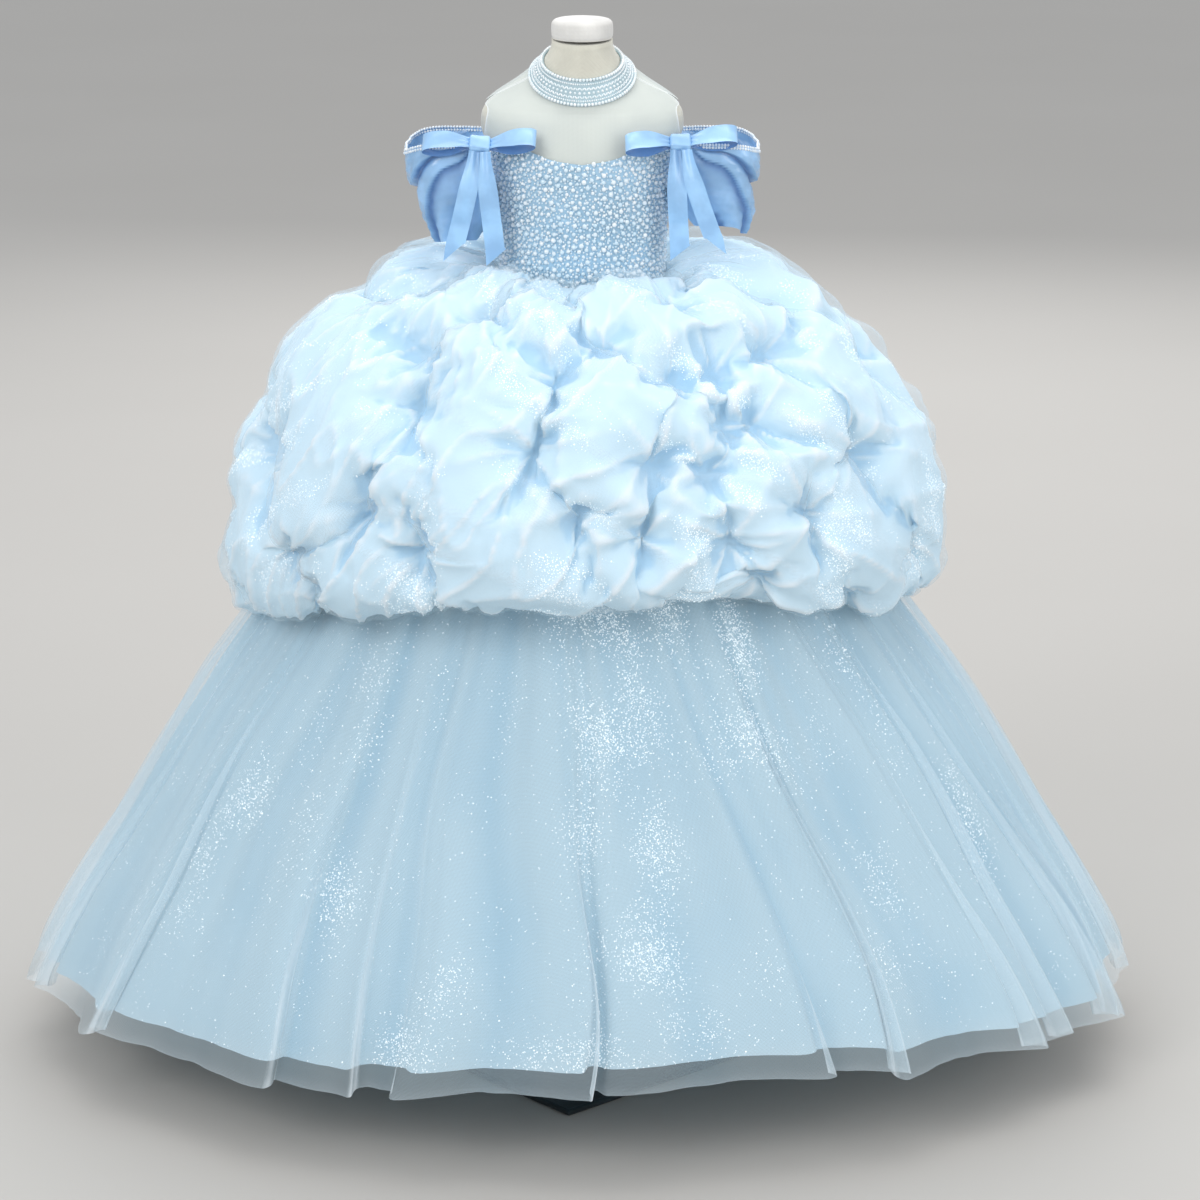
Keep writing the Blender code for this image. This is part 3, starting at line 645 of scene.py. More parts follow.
def new_material(name, roughness, sheen=0.0, sheen_roughness=0.5, coat=0.0, specular=0.5):
    """Material with its plain values set on the shader's own sockets."""
    material = bpy.data.materials.new(name)
    material.use_nodes = True
    shader = material.node_tree.nodes["Principled BSDF"]
    shader.inputs["Roughness"].default_value = roughness
    shader.inputs["Sheen Weight"].default_value = sheen
    shader.inputs["Sheen Roughness"].default_value = sheen_roughness
    shader.inputs["Coat Weight"].default_value = coat
    shader.inputs["Specular IOR Level"].default_value = specular
    return material, material.node_tree, shader


def add_bump(tree, shader, height, strength, distance):
    """Fine relief on a shader."""
    bump = add_node(tree, "ShaderNodeBump", Height=height, Strength=strength, Distance=distance)
    tree.links.new(bump.outputs[0], shader.inputs["Normal"])


def mark_value(tree, name):
    """A mark of the cloth, read in its material."""
    return add_node(tree, "ShaderNodeAttribute", {"attribute_name": name}).outputs["Fac"]


def woven_height(tree, threads):
    """Relief of a plain weave that follows the cloth."""
    chart = add_node(tree, "ShaderNodeUVMap", {"uv_map": "cloth"}).outputs[0]
    heights = []
    for direction in ("X", "Y"):
        wave = add_node(tree, "ShaderNodeTexWave", {"bands_direction": direction},
                        Vector=chart, Scale=threads / 20.0, Distortion=0.4)
        heights.append(wave.outputs["Fac"])
    return calculate(tree, "MAXIMUM", heights[0], heights[1])


def woven_material(name, colour, roughness, threads=900.0, relief=0.00025, sheen=0.25, deep=0.8):
    """Opaque cloth with a weave and a little unevenness."""
    material, tree, shader = new_material(name, roughness, sheen)
    place = add_node(tree, "ShaderNodeTexCoord").outputs["Object"]
    mottle = add_node(tree, "ShaderNodeTexNoise", Vector=place, Scale=22.0, Detail=4.0).outputs[0]
    shade = spread(tree, mottle, 0.3, 0.7)
    weave = woven_height(tree, threads)
    dark = tuple(c * deep for c in colour)
    mixed = blend(tree, shade, dark, tuple(colour))
    mixed = blend(tree, calculate(tree, "MULTIPLY", weave, 0.12), mixed, dark)
    tree.links.new(mixed, shader.inputs["Base Color"])
    add_bump(tree, shader, weave, 0.5, relief)
    return material


def tulle_material(name, light, deep, clear, dense, edge_white_and_highlight=(0.93, 0.97, 1.0)):
    """Fine net: painted shade between the folds and painted light on the billows; denser on fold edges,
    with a painted whitish highlight there.
    """
    material, tree, shader = new_material(name, 0.85, sheen=0.20, sheen_roughness=0.5,
                                          specular=0.12)
    place = add_node(tree, "ShaderNodeTexCoord").outputs["Object"]
    chart = add_node(tree, "ShaderNodeUVMap", {"uv_map": "cloth"}).outputs[0]
    lift, edge = mark_value(tree, "lift"), mark_value(tree, "edge")
    cloud = add_node(tree, "ShaderNodeTexNoise", Vector=place, Scale=9.0, Detail=1.0).outputs[0]
    uneven = calculate(tree, "MULTIPLY_ADD", cloud, 0.5)
    # Painted light and shade: the lift mark, with a random cloud, blends from the deep colour in
    # hollows to the light one on billows
    tone = calculate(tree, "ADD", lift, calculate(tree, "SUBTRACT", uneven, 0.25), clamp=True)
    colour = blend(tree, tone, tuple(deep), tuple(light))
    # Painted highlight: fold edges are blended towards white
    colour = blend(tree, calculate(tree, "MULTIPLY", edge, 0.75), colour, edge_white_and_highlight)
    along = add_node(tree, "ShaderNodeSeparateXYZ", Vector=chart)
    waves = []
    for direction in ("X", "Y"):
        turn = calculate(tree, "MULTIPLY", along.outputs[direction], NET_PITCH)
        waves.append(calculate(tree, "ABSOLUTE", calculate(tree, "SINE", turn)))
    thread = calculate(tree, "SUBTRACT", 1.0, calculate(tree, "MULTIPLY", *waves))
    thread = calculate(tree, "POWER", thread, 3.0)
    density = spread(tree, edge, 0.0, 1.0, clear, dense)
    density = calculate(tree, "ADD", density, calculate(tree, "MULTIPLY", thread, 0.16 * (1.0 - clear)))
    tree.links.new(colour, shader.inputs["Base Color"])
    if clear < 0.99:
        tree.links.new(calculate(tree, "MINIMUM", density, 1.0), shader.inputs["Alpha"])
        return material
    crinkle = add_node(tree, "ShaderNodeTexNoise", Vector=place, Scale=60.0, Detail=1.0).outputs[0]
    add_bump(tree, shader, crinkle, 0.25, 0.0012)
    return material


def satin_material(name, colour):
    """Satin: a smooth sheen with faint threads across it, soft crinkles and painted shade in its marked
    pockets.
    """
    material, tree, shader = new_material(name, 0.27, sheen=0.30, sheen_roughness=0.30, specular=0.95)
    shader.inputs["Anisotropic"].default_value = 0.55
    shader.inputs["Sheen Tint"].default_value = (0.75, 0.87, 1.0, 1.0)
    place = add_node(tree, "ShaderNodeTexCoord").outputs["Object"]
    chart = add_node(tree, "ShaderNodeUVMap", {"uv_map": "cloth"}).outputs[0]
    cloud = add_node(tree, "ShaderNodeTexNoise", Vector=place, Scale=26.0, Detail=3.0).outputs[0]
    bright = tuple(min(1.0, c * 1.25 + 0.03) for c in colour)
    mixed = blend(tree, spread(tree, cloud, 0.35, 0.7), tuple(colour), bright)
    # Painted shade: marked pockets are blended towards this deep blue
    deep = (0.050, 0.150, 0.40)
    mixed = blend(tree, calculate(tree, "MULTIPLY", mark_value(tree, "painted_pocket_shade"), 0.85), mixed, deep)
    tree.links.new(mixed, shader.inputs["Base Color"])
    threads = add_node(tree, "ShaderNodeTexWave", {"bands_direction": "Y"}, Vector=chart,
                       Scale=150.0, Distortion=1.5, Detail=1.0).outputs["Fac"]
    crinkle = add_node(tree, "ShaderNodeTexNoise", Vector=place, Scale=48.0, Detail=2.0).outputs[0]
    height = calculate(tree, "ADD", calculate(tree, "MULTIPLY", threads, 0.03), crinkle)
    add_bump(tree, shader, height, 0.30, 0.0022)
    return material


def pearl_material(name, pale, tinted):
    """Pearls in two tints with a clear gloss."""
    material, tree, shader = new_material(name, 0.22, coat=0.5, specular=0.7)
    shader.inputs["Coat Roughness"].default_value = 0.08
    tone = mark_value(tree, "tone")
    mixed = blend(tree, tone, tinted, pale)
    tree.links.new(mixed, shader.inputs["Base Color"])
    return material


def glitter_material(name):
    """Silvery flakes with faint cool and warm tints and a faint painted glow for their sparkle."""
    material, tree, shader = new_material(name, 0.30, specular=0.9)
    shader.inputs["Metallic"].default_value = 0.15
    # A faint glow painted on the flakes as sparkle
    shader.inputs["Emission Color"].default_value = (0.93, 0.98, 1.0, 1.0)
    shader.inputs["Emission Strength"].default_value = 0.30
    tone = mark_value(tree, "tone")
    mixed = blend(tree, tone, (0.86, 0.95, 1.0), (1.0, 0.99, 0.97))
    tree.links.new(mixed, shader.inputs["Base Color"])
    return material


def paint_material(name, colour):
    """Semi-gloss paint with a fine grain and dust in its roughness."""
    material, tree, shader = new_material(name, 0.38)
    place = add_node(tree, "ShaderNodeTexCoord").outputs["Object"]
    grain = add_node(tree, "ShaderNodeTexNoise", Vector=place, Scale=900.0, Detail=2.0).outputs[0]
    dust = add_node(tree, "ShaderNodeTexNoise", Vector=place, Scale=14.0, Detail=4.0).outputs[0]
    mixed = blend(tree, spread(tree, dust, 0.4, 0.8), tuple(colour), tuple(c * 1.8 for c in colour))
    tree.links.new(mixed, shader.inputs["Base Color"])
    tree.links.new(spread(tree, dust, 0.3, 0.7, 0.32, 0.48), shader.inputs["Roughness"])
    add_bump(tree, shader, grain, 0.15, 0.0002)
    return material


def new_tree(name, sizes):
    """Node tree for repeated things, with its named inputs."""
    tree = bpy.data.node_groups.new(name, "GeometryNodeTree")
    tree.interface.new_socket("Geometry", in_out="INPUT", socket_type="NodeSocketGeometry")
    tree.interface.new_socket("Geometry", in_out="OUTPUT", socket_type="NodeSocketGeometry")
    for title, kind in sizes:
        tree.interface.new_socket(title, in_out="INPUT", socket_type=kind)
    return tree, tree.nodes.new("NodeGroupInput").outputs, tree.nodes.new("NodeGroupOutput")


def close_tree(tree, group_out, instances, source, seed):
    """Give each copy its tone, then make the copies real and set their material."""
    chance = add_node(tree, "FunctionNodeRandomValue", Seed=seed)
    toned = add_node(tree, "GeometryNodeStoreNamedAttribute",
                     {"domain": "INSTANCE", "data_type": "FLOAT"},
                     Geometry=instances, Name="tone", Value=chance.outputs[1])
    real = add_node(tree, "GeometryNodeRealizeInstances", Geometry=toned.outputs[0])
    made = add_node(tree, "GeometryNodeSetMaterial", Geometry=real.outputs[0],
                    Material=source["Material"])
    tree.links.new(made.outputs[0], group_out.inputs[0])


def scatter_tree():
    """Pearls scattered on cloth, no closer than their spacing."""
    tree, source, group_out = new_tree("scattered_pearls", (
        ("Spacing", "NodeSocketFloat"), ("Diameter", "NodeSocketFloat"),
        ("Variation", "NodeSocketFloat"), ("Lift", "NodeSocketFloat"),
        ("Fineness", "NodeSocketInt"), ("Seed", "NodeSocketInt"),
        ("Material", "NodeSocketMaterial")))
    spots = add_node(tree, "GeometryNodeDistributePointsOnFaces",
                     {"distribute_method": "POISSON"}, Mesh=source["Geometry"],
                     Distance_Min=source["Spacing"], Density_Max=400000.0, Seed=source["Seed"])
    away = add_node(tree, "ShaderNodeVectorMath", {"operation": "SCALE"},
                    Vector=spots.outputs["Normal"], Scale=source["Lift"])
    raised = add_node(tree, "GeometryNodeSetPosition", Geometry=spots.outputs["Points"],
                      Offset=away.outputs[0])
    ball = add_node(tree, "GeometryNodeMeshUVSphere", Segments=source["Fineness"], Rings=4)
    radius = calculate(tree, "MULTIPLY", source["Diameter"], 0.5)
    tree.links.new(radius, ball.inputs["Radius"])
    low = calculate(tree, "SUBTRACT", 1.0, source["Variation"])
    size = add_node(tree, "FunctionNodeRandomValue", Seed=source["Seed"], Max=1.0)
    tree.links.new(low, size.inputs[2])
    size.inputs[3].default_value = 1.0
    copies = add_node(tree, "GeometryNodeInstanceOnPoints", Points=raised.outputs[0],
                      Instance=ball.outputs["Mesh"], Scale=size.outputs[1])
    close_tree(tree, group_out, copies.outputs[0], source, 11)
    return tree


def bead_tree():
    """Beads on marked points, each with its own size, length and direction."""
    tree, source, group_out = new_tree("placed_beads", (
        ("Diameter", "NodeSocketFloat"), ("Material", "NodeSocketMaterial")))
    ball = add_node(tree, "GeometryNodeMeshUVSphere", Radius=0.5, Segments=6, Rings=4)
    size = add_node(tree, "GeometryNodeInputNamedAttribute", {"data_type": "FLOAT"}, Name="size")
    length = add_node(tree, "GeometryNodeInputNamedAttribute", {"data_type": "FLOAT"}, Name="length")
    way = add_node(tree, "GeometryNodeInputNamedAttribute", {"data_type": "FLOAT_VECTOR"}, Name="way")
    turn = add_node(tree, "FunctionNodeAlignRotationToVector", {"axis": "X"}, Vector=way.outputs[0])
    wide = calculate(tree, "MULTIPLY", size.outputs[0], source["Diameter"])
    long = calculate(tree, "MULTIPLY", wide, length.outputs[0])
    scale = add_node(tree, "ShaderNodeCombineXYZ", X=long, Y=wide, Z=wide)
    copies = add_node(tree, "GeometryNodeInstanceOnPoints", Points=source["Geometry"],
                      Instance=ball.outputs["Mesh"], Rotation=turn.outputs[0],
                      Scale=scale.outputs[0])
    close_tree(tree, group_out, copies.outputs[0], source, 5)
    return tree


def flake_tree():
    """Small flakes scattered where the cloth is marked for glitter, each a little tilted."""
    tree, source, group_out = new_tree("glitter_flakes", (
        ("Density", "NodeSocketFloat"), ("Width", "NodeSocketFloat"),
        ("Seed", "NodeSocketInt"), ("Material", "NodeSocketMaterial")))
    mask = add_node(tree, "GeometryNodeInputNamedAttribute", {"data_type": "FLOAT"}, Name="glitter")
    amount = calculate(tree, "MULTIPLY", mask.outputs[0], source["Density"])
    spots = add_node(tree, "GeometryNodeDistributePointsOnFaces", {"distribute_method": "RANDOM"},
                     Mesh=source["Geometry"], Density=amount, Seed=source["Seed"])
    away = add_node(tree, "ShaderNodeVectorMath", {"operation": "SCALE"},
                    Vector=spots.outputs["Normal"], Scale=FLAKE_LIFT)
    raised = add_node(tree, "GeometryNodeSetPosition", Geometry=spots.outputs["Points"],
                      Offset=away.outputs[0])
    flake = add_node(tree, "GeometryNodeMeshCircle", {"fill_type": "NGON"}, Vertices=4)
    half = calculate(tree, "MULTIPLY", source["Width"], 0.5)
    tree.links.new(half, flake.inputs["Radius"])
    tilt = add_node(tree, "FunctionNodeRandomValue", {"data_type": "FLOAT_VECTOR"}, Seed=3)
    tilt.inputs[0].default_value = (-0.5, -0.5, 0.0)
    tilt.inputs[1].default_value = (0.5, 0.5, 6.28)
    turned = add_node(tree, "FunctionNodeRotateRotation", {"rotation_space": "LOCAL"},
                      Rotation=spots.outputs["Rotation"])
    tree.links.new(tilt.outputs[0], turned.inputs[1])
    size = add_node(tree, "FunctionNodeRandomValue", Seed=source["Seed"])
    size.inputs[2].default_value = 0.45
    size.inputs[3].default_value = 1.25
    copies = add_node(tree, "GeometryNodeInstanceOnPoints", Points=raised.outputs[0],
                      Instance=flake.outputs[0], Rotation=turned.outputs[0],
                      Scale=size.outputs[1])
    close_tree(tree, group_out, copies.outputs[0], source, 7)
    return tree


def grown(name, base, tree, values):
    """Plain mesh of what a node tree makes on a base object."""
    modifier = base.modifiers.new("grow", "NODES")
    modifier.node_group = tree
    for item in tree.interface.items_tree:
        if item.item_type == "SOCKET" and item.in_out == "INPUT" and item.name in values:
            modifier[item.identifier] = values[item.name]
    bpy.context.view_layer.update()
    graph = bpy.context.evaluated_depsgraph_get()
    mesh = bpy.data.meshes.new_from_object(base.evaluated_get(graph))
    base.modifiers.remove(modifier)
    mesh.name = name
    mesh.shade_smooth()
    piece = bpy.data.objects.new(name, mesh)
    bpy.context.scene.collection.objects.link(piece)
    if not len(mesh.polygons):
        raise RuntimeError(name + " came out empty")
    return piece


def beads_on(name, points, sizes, lengths, ways, diameter, material):
    """Beads at given points."""
    mesh = bpy.data.meshes.new(name + "_points")
    mesh.from_pydata(np.asarray(points).tolist(), [], [])
    for title, kind, key, values in (("size", "FLOAT", "value", sizes),
                                     ("length", "FLOAT", "value", lengths),
                                     ("way", "FLOAT_VECTOR", "vector", ways)):
        mark = mesh.attributes.new(title, kind, "POINT")
        mark.data.foreach_set(key, np.ascontiguousarray(values, np.float32).ravel())
    base = bpy.data.objects.new(name + "_points", mesh)
    bpy.context.scene.collection.objects.link(base)
    piece = grown(name, base, bead_tree(), {"Diameter": diameter, "Material": material})
    bpy.data.objects.remove(base, do_unlink=True)
    return piece


def fold_rows():
    """Start of each fold and of the one after it."""
    starts = [row[0] for row in FOLDS]
    return list(zip(starts, starts[1:] + [starts[0] + 360.0]))


def skirt_hem(angle):
    """Height of the long skirt's hem: lowest at the sides."""
    front = np.maximum(0.0, np.cos(np.radians(angle)))
    return 0.075 + 0.040 * front ** 2 + 0.004 * np.sin(np.radians(5.0 * angle + 40.0))


def skirt_grid(steps, levels, inward, share, hem_lift=0.0):
    """Long skirt with folds that fall over each other; marks of lift, painted light on the fold crests
    with random streaks, and of the fold edges, denser net with a painted highlight.
    """
    angles, depths, crests, overs, drifts, across = [], [], [], [], [], []
    for (first, last), (_, depth, lean, over, drift), following in zip(
            fold_rows(), FOLDS, FOLDS[1:] + FOLDS[:1]):
        for number in range(steps):
            t = number / steps
            skewed = t ** (math.log(0.5) / math.log(lean))
            angles.append(first + (last - first) * t)
            depths.append(depth)
            crests.append(skewed)
            overs.append(FALL * over * (last - first))
            drifts.append(drift + (following[4] - drift) * t)
            across.append(t)
    angle, depth, crest, over, drift = (
        np.array(v)[None, :] for v in (angles, depths, crests, overs, drifts))
    level = shares_of(levels)
    top = SKIRT_PROFILE[-1][0]
    hem = skirt_hem(angle) + hem_lift
    height = top + (hem - top) * level
    growth = np.clip((FOLD_START - height) / (FOLD_START - FOLD_FULL), 0.0, 1.0)
    wave = np.sin(math.pi * crest) ** 2
    uneven = 1.0 + 0.25 * soft_noise(angle / 30.0, height * 3.0, 21)
    out = depth * share * wave * growth ** 1.1 * uneven
    gather = 0.0035 * np.sin(np.radians(angle * 60.0)) * (1.0 - step(0.0, 0.55, level))
    fine = 0.0060 * soft_noise(angle / 6.5, height * 1.2, 22) * step(0.25, 0.8, level)
    fine = fine + 0.0022 * soft_noise(angle / 2.4, height * 1.5, 24) * step(0.2, 0.6, level)
    # the fall eases out at the seams so that neighbours never part
    turned = angle + over * wave * growth ** 0.8 * share + drift * step(0.15, 1.0, level)
    turned = turned + 1.3 * soft_noise(angle / 26.0, level * 2.2, 23) * step(0.2, 0.7, level)
    out = out + (gather + fine) * share - inward
    half_width = curve(SKIRT_PROFILE, height, 1) + out
    half_depth = curve(SKIRT_PROFILE, height, 2) + out
    points = ring(half_width, half_depth, turned, height)
    pace = np.abs(np.diff(np.concatenate([turned, turned[:, :1] + 360.0], 1), axis=1))
    usual = np.diff(np.append(angle[0], angle[0, 0] + 360.0))[None, :]
    edge = np.clip(1.0 - pace / (0.55 * usual), 0.0, 1.0) * growth
    foot = step(0.988, 1.0, level)
    streak = soft_noise(angle / 5.0, height * 0.7, 25)
    # Painted light and shade: lift is lighter on the fold crests, with random streaks; edge makes the
    # net denser with a painted highlight where folds fall over each other, and denser and whiter at the
    # hem
    marks = {
        "lift": np.clip(0.30 + 0.50 * wave * growth + 0.22 * streak, 0.0, 1.0),
        "edge": np.clip(edge ** 1.5 + 0.25 * foot, 0.0, 1.0),
        "glitter": glitter_marks(turned, height),
    }
    return points, marks


def glitter_marks(angle, height):
    """How much glitter lies at a place of the long skirt."""
    total = 0.008 + 0.0 * angle * height
    radius = curve(SKIRT_PROFILE, height, 1)
    rough = soft_noise(angle / 8.0, height * 7.0, 31)
    rough = rough + 0.8 * soft_noise(angle / 2.4, height * 20.0, 32)
    for middle, place, half_width, half_height, strength in GLITTER_PATCHES:
        for turn in (0.0, 180.0):
            x = np.radians(folded(angle - middle - turn)) * radius / half_width
            y = (height - place) / half_height
            near = np.exp(-0.7 * (x * x + y * y))
            total = total + strength * near * step(-0.5, 1.3, rough)
    bands = step(0.75, 1.5, rough)
    total = total + 0.10 * bands
    return np.clip(total, 0.0, 1.0)


def puff_base(angle, part):
    """Points of the overskirt without its puffs."""
    half_width = curve(PUFF_PROFILE, part, 1)
    half_depth = curve(PUFF_PROFILE, part, 2)
    drop = curve(PUFF_PROFILE, part, 3)
    height = WAIST_HEIGHT - (WAIST_HEIGHT - curve(BUBBLE_HEM, folded(angle), 1)) * drop
    tuck = np.clip((part - PUFF_TUCK) / (1.0 - PUFF_TUCK), 0.0, 1.0)
    half_width = half_width + (curve(SKIRT_PROFILE, height, 1) + PUFF_SPARE - half_width) * tuck
    half_depth = half_depth + (curve(SKIRT_PROFILE, height, 2) + PUFF_SPARE - half_depth) * tuck
    return ring(half_width, half_depth, angle, height)


def puff_normals(angle, part):
    """Outward directions of the overskirt without its puffs."""
    across = puff_base(angle + 1.0, part) - puff_base(angle - 1.0, part)
    above, below = np.maximum(0.0, part - 0.01), np.minimum(1.0, part + 0.01)
    down = puff_base(angle, below) - puff_base(angle, above)
    return unit(np.cross(down, across))


def tack_distance(angle, part):
    """Distance over the cloth to the nearest tack."""
    reach = curve(PUFF_PROFILE, part, 1)
    nearest = np.full(np.broadcast(angle, part).shape, 9.0)
    for tack, place in TACKS:
        along = np.radians(folded(angle - tack)) * reach
        nearest = np.minimum(nearest, np.hypot(along, (part - place) * PUFF_DROP))
    return nearest


def tack_creases(angle, part):
    """Sharp creases that fan out of the tacks, and longer ones across the billows."""
    reach = curve(PUFF_PROFILE, part, 1)
    chance = np.random.default_rng(12)
    total = np.zeros(np.broadcast(angle, part).shape)
    for tack, place in TACKS:
        along = np.radians(folded(angle - tack)) * reach
        below = (part - place) * PUFF_DROP
        away = np.hypot(along, below)
        count = int(chance.integers(5, 9))
        phase = chance.uniform(0.0, math.pi)
        ray = np.abs(np.sin(0.5 * count * np.arctan2(below, along) + phase + 7.0 * away))
        total += (1.0 - ray) ** 2.0 * away / (away + 0.010) * np.exp(-(away / CREASE_REACH) ** 2)
    turn = np.radians(angle)
    wide, tall = np.sin(turn) * 2.6 + np.cos(turn * 2.0) * 1.2, part * 4.4
    for seed, share in ((71, 0.80), (72, 0.60)):
        line = np.abs(soft_noise(wide, tall + 0.6 * wide, seed))
        total += share * (1.0 - np.minimum(1.0, line)) ** 5
    return total * np.minimum(1.0, part / 0.06) * np.minimum(1.0, (1.0 - part) / 0.05)


def draped(points, held):
    """Cloth cut larger than its place, held at some points, filled out and let down."""
    scene = bpy.context.scene
    loose = add_cloth("loose_cloth", points, bpy.data.materials.new("loose_cloth"),
                      closed=True, downward=True)
    group = loose.vertex_groups.new(name="held")
    group.add([int(i) for i in np.flatnonzero(held.ravel())], 1.0, "REPLACE")
    cloth = loose.modifiers.new("drape", "CLOTH")
    for key, value in DRAPE.items():
        setattr(cloth.settings, key, value)
    cloth.settings.effector_weights.gravity = WEIGHT
    cloth.collision_settings.use_collision = False
    cloth.collision_settings.use_self_collision = False
    cloth.point_cache.frame_start = 1
    cloth.point_cache.frame_end = DRAPE_FRAMES
    for number in range(1, DRAPE_FRAMES + 1):
        scene.frame_set(number)
    graph = bpy.context.evaluated_depsgraph_get()
    mesh = loose.evaluated_get(graph).to_mesh()
    places = np.empty(len(mesh.vertices) * 3, np.float32)
    mesh.vertices.foreach_get("co", places)
    bpy.data.objects.remove(loose, do_unlink=True)
    scene.frame_set(1)
    places = places.reshape(points.shape).astype(float)
    if not np.isfinite(places).all():
        raise RuntimeError("the cloth came apart while it was draped")
    return places


def refined(grid):
    """Twice as many points each way on the same smooth surface; the columns run all round."""
    between = 9.0 * (grid + np.roll(grid, -1, 1)) - np.roll(grid, 1, 1)
    between = (between - np.roll(grid, -2, 1)) / 16.0
    wide = np.empty((grid.shape[0], grid.shape[1] * 2, 3))
    wide[:, ::2], wide[:, 1::2] = grid, between
    ends = np.concatenate([2 * wide[:1] - wide[1:2], wide, 2 * wide[-1:] - wide[-2:-1]], 0)
    middle = (9.0 * (ends[1:-2] + ends[2:-1]) - ends[:-3] - ends[3:]) / 16.0
    tall = np.empty((wide.shape[0] * 2 - 1, wide.shape[1], 3))
    tall[::2], tall[1::2] = wide, middle
    return tall


def settled(points, times):
    """The same grid with its small folds smoothed away; its first and last rows stay."""
    smooth = points.copy()
    for _ in range(times):
        around = (np.roll(smooth, 1, 1) + np.roll(smooth, -1, 1))[1:-1] + smooth[:-2] + smooth[2:]
        smooth[1:-1] = 0.5 * smooth[1:-1] + 0.125 * around
    return smooth


def widest(heights):
    """The largest of each height and the ones beside it."""
    for axis in (0, 1):
        beside = np.maximum(np.roll(heights, 1, axis), np.roll(heights, -1, axis))
        heights = np.maximum(heights, beside)
    return heights


def grid_normals(points):
    """Outward directions of a draped grid that runs round and down."""
    across = np.roll(points, -1, 1) - np.roll(points, 1, 1)
    down = np.gradient(points, axis=0)
    return unit(np.cross(down, across))


def bulge(points, normals, reach):
    """How far each point stands out of the points a few steps away; hollows are negative."""
    last = points.shape[0] - 1
    rows = np.arange(last + 1)
    above, below = points[np.maximum(rows - reach, 0)], points[np.minimum(rows + reach, last)]
    around = (np.roll(points, reach, 1) + np.roll(points, -reach, 1) + above + below) / 4.0
    return ((points - around) * normals).sum(-1)


def overskirt_marks(points, angle, part):
    """Marks of a puffed cloth: lift paints light on its billows and shade in its hollows, edge makes
    its sharp folds denser and paints a highlight on them, and glitter.
    """
    normals = grid_normals(points)
    broad = bulge(points, normals, 7) + 0.6 * bulge(points, normals, 14)
    fine = bulge(points, normals, 2)
    reach = curve(PUFF_PROFILE, part, 1)
    x, y = np.radians(angle) * reach / 0.10, part * PUFF_DROP / 0.10
    rough = soft_noise(x * 0.8, y * 0.8, 44) + 0.6 * soft_noise(x * 2.6, y * 2.6, 45)
    # lift is painted light and shade from the bulges; edge is denser net with a painted highlight on
    # the sharp folds
    return {
        "lift": np.clip(0.46 + broad / BILLOW + fine / RIPPLE, 0.0, 1.0),
        "edge": np.clip((fine - FOLD_EDGE[0]) / FOLD_EDGE[1], 0.0, 1.0) ** 1.2,
        "glitter": step(0.15, 1.5, rough) * step(-0.006, 0.004, broad),
    }


def overskirt_grids(sizes):
    """The draped overskirt and its sheer outer layer, with the marks of each."""
    angle = turns_of(PUFF_COLUMNS, -45.0)
    part = shares_of(PUFF_ROWS)
    base, normals = puff_base(angle, part), puff_normals(angle, part)
    tacks = tack_distance(angle, part)
    near = np.minimum(tacks, np.minimum(part, 1.0 - part) * PUFF_DROP)
    pillow = PUFF_FULLNESS * (1.0 - np.exp(-(near / TACK_REACH) ** 2))
    held = (tacks < TACK_HALF) | (part < 0.012) | (part > 0.992)
    points = draped(base + normals * pillow[..., None], held)
    out = ((points - base) * normals).sum(-1)
    spare = PUFF_ROOM[1] * step(0.06, 0.36, part)
    room = PUFF_ROOM[0] + spare * (1.0 - 0.85 * step(0.55, 0.90, part))
    room = room * (1.0 - 0.55 * step(0.70, 0.95, part))
    kept = np.where(out > 0.0, room * np.tanh(out / room), np.maximum(out, -HOLLOW_DEPTH))
    points = refined(settled(points + normals * (kept - out)[..., None], 1))
    turns = turns_of(2 * PUFF_COLUMNS, -45.0)
    parts = shares_of(2 * PUFF_ROWS - 1)
    floating = settled(points, 8)
    away = grid_normals(settled(points, 30))
    points = points + away * (sizes.crease_height * tack_creases(turns, parts))[..., None]
    crest = soft_noise(turns / 24.0, parts * 3.6, 46)
    small = np.clip(soft_noise(turns / 9.0, parts * 4.0, 47), 0.0, 1.0)
    ruffle = np.exp(-(crest / 0.42) ** 2) + 0.5 * small
    free = step(0.0, 0.10, parts) * (1.0 - 0.8 * step(0.78, 0.96, parts))
    lift = (sizes.veil_gap + sizes.veil_ruffle * ruffle) * free
    covered = widest(((points - floating) * away).sum(-1)) + VEIL_CLEARANCE
    lift = settled(np.maximum(lift, covered), 3)
    outer = floating + away * lift[..., None]
    marks = overskirt_marks(points, turns, parts)
    outer_marks = overskirt_marks(outer, turns, parts)
    # The veil's ruffle crests get denser net with a painted highlight
    outer_marks["edge"] = 0.34 * np.exp(-(crest / 0.34) ** 2) * free
    outer_marks = {key: value[:, ::2] for key, value in outer_marks.items()}
    return (points, marks), (outer[:, ::2], outer_marks)


def gore_columns(breaks, columns):
    """Columns of each gore, front, right, back and left."""
    ends = breaks[1:] + [breaks[0] + columns]
    return [np.arange(first, last + 1) % columns for first, last in zip(breaks, ends)]


def gores(name, points, marks, breaks, material, slot, nodes, cuts):
    """Cut a whole skirt into its gores; each one is a sheet of its own."""
    pieces = []
    for title, chosen, (width, length, area) in zip(
            ("front", "right", "back", "left"), gore_columns(breaks, points.shape[1]), cuts):
        part = {key: value[:, chosen] for key, value in marks.items()}
        piece = add_cloth(name + "_" + title, points[:, chosen], material, downward=True, marks=part)
        settle(piece, slot, *([nodes + "_" + title] if nodes else []))
        pieces.append(piece)
    return pieces


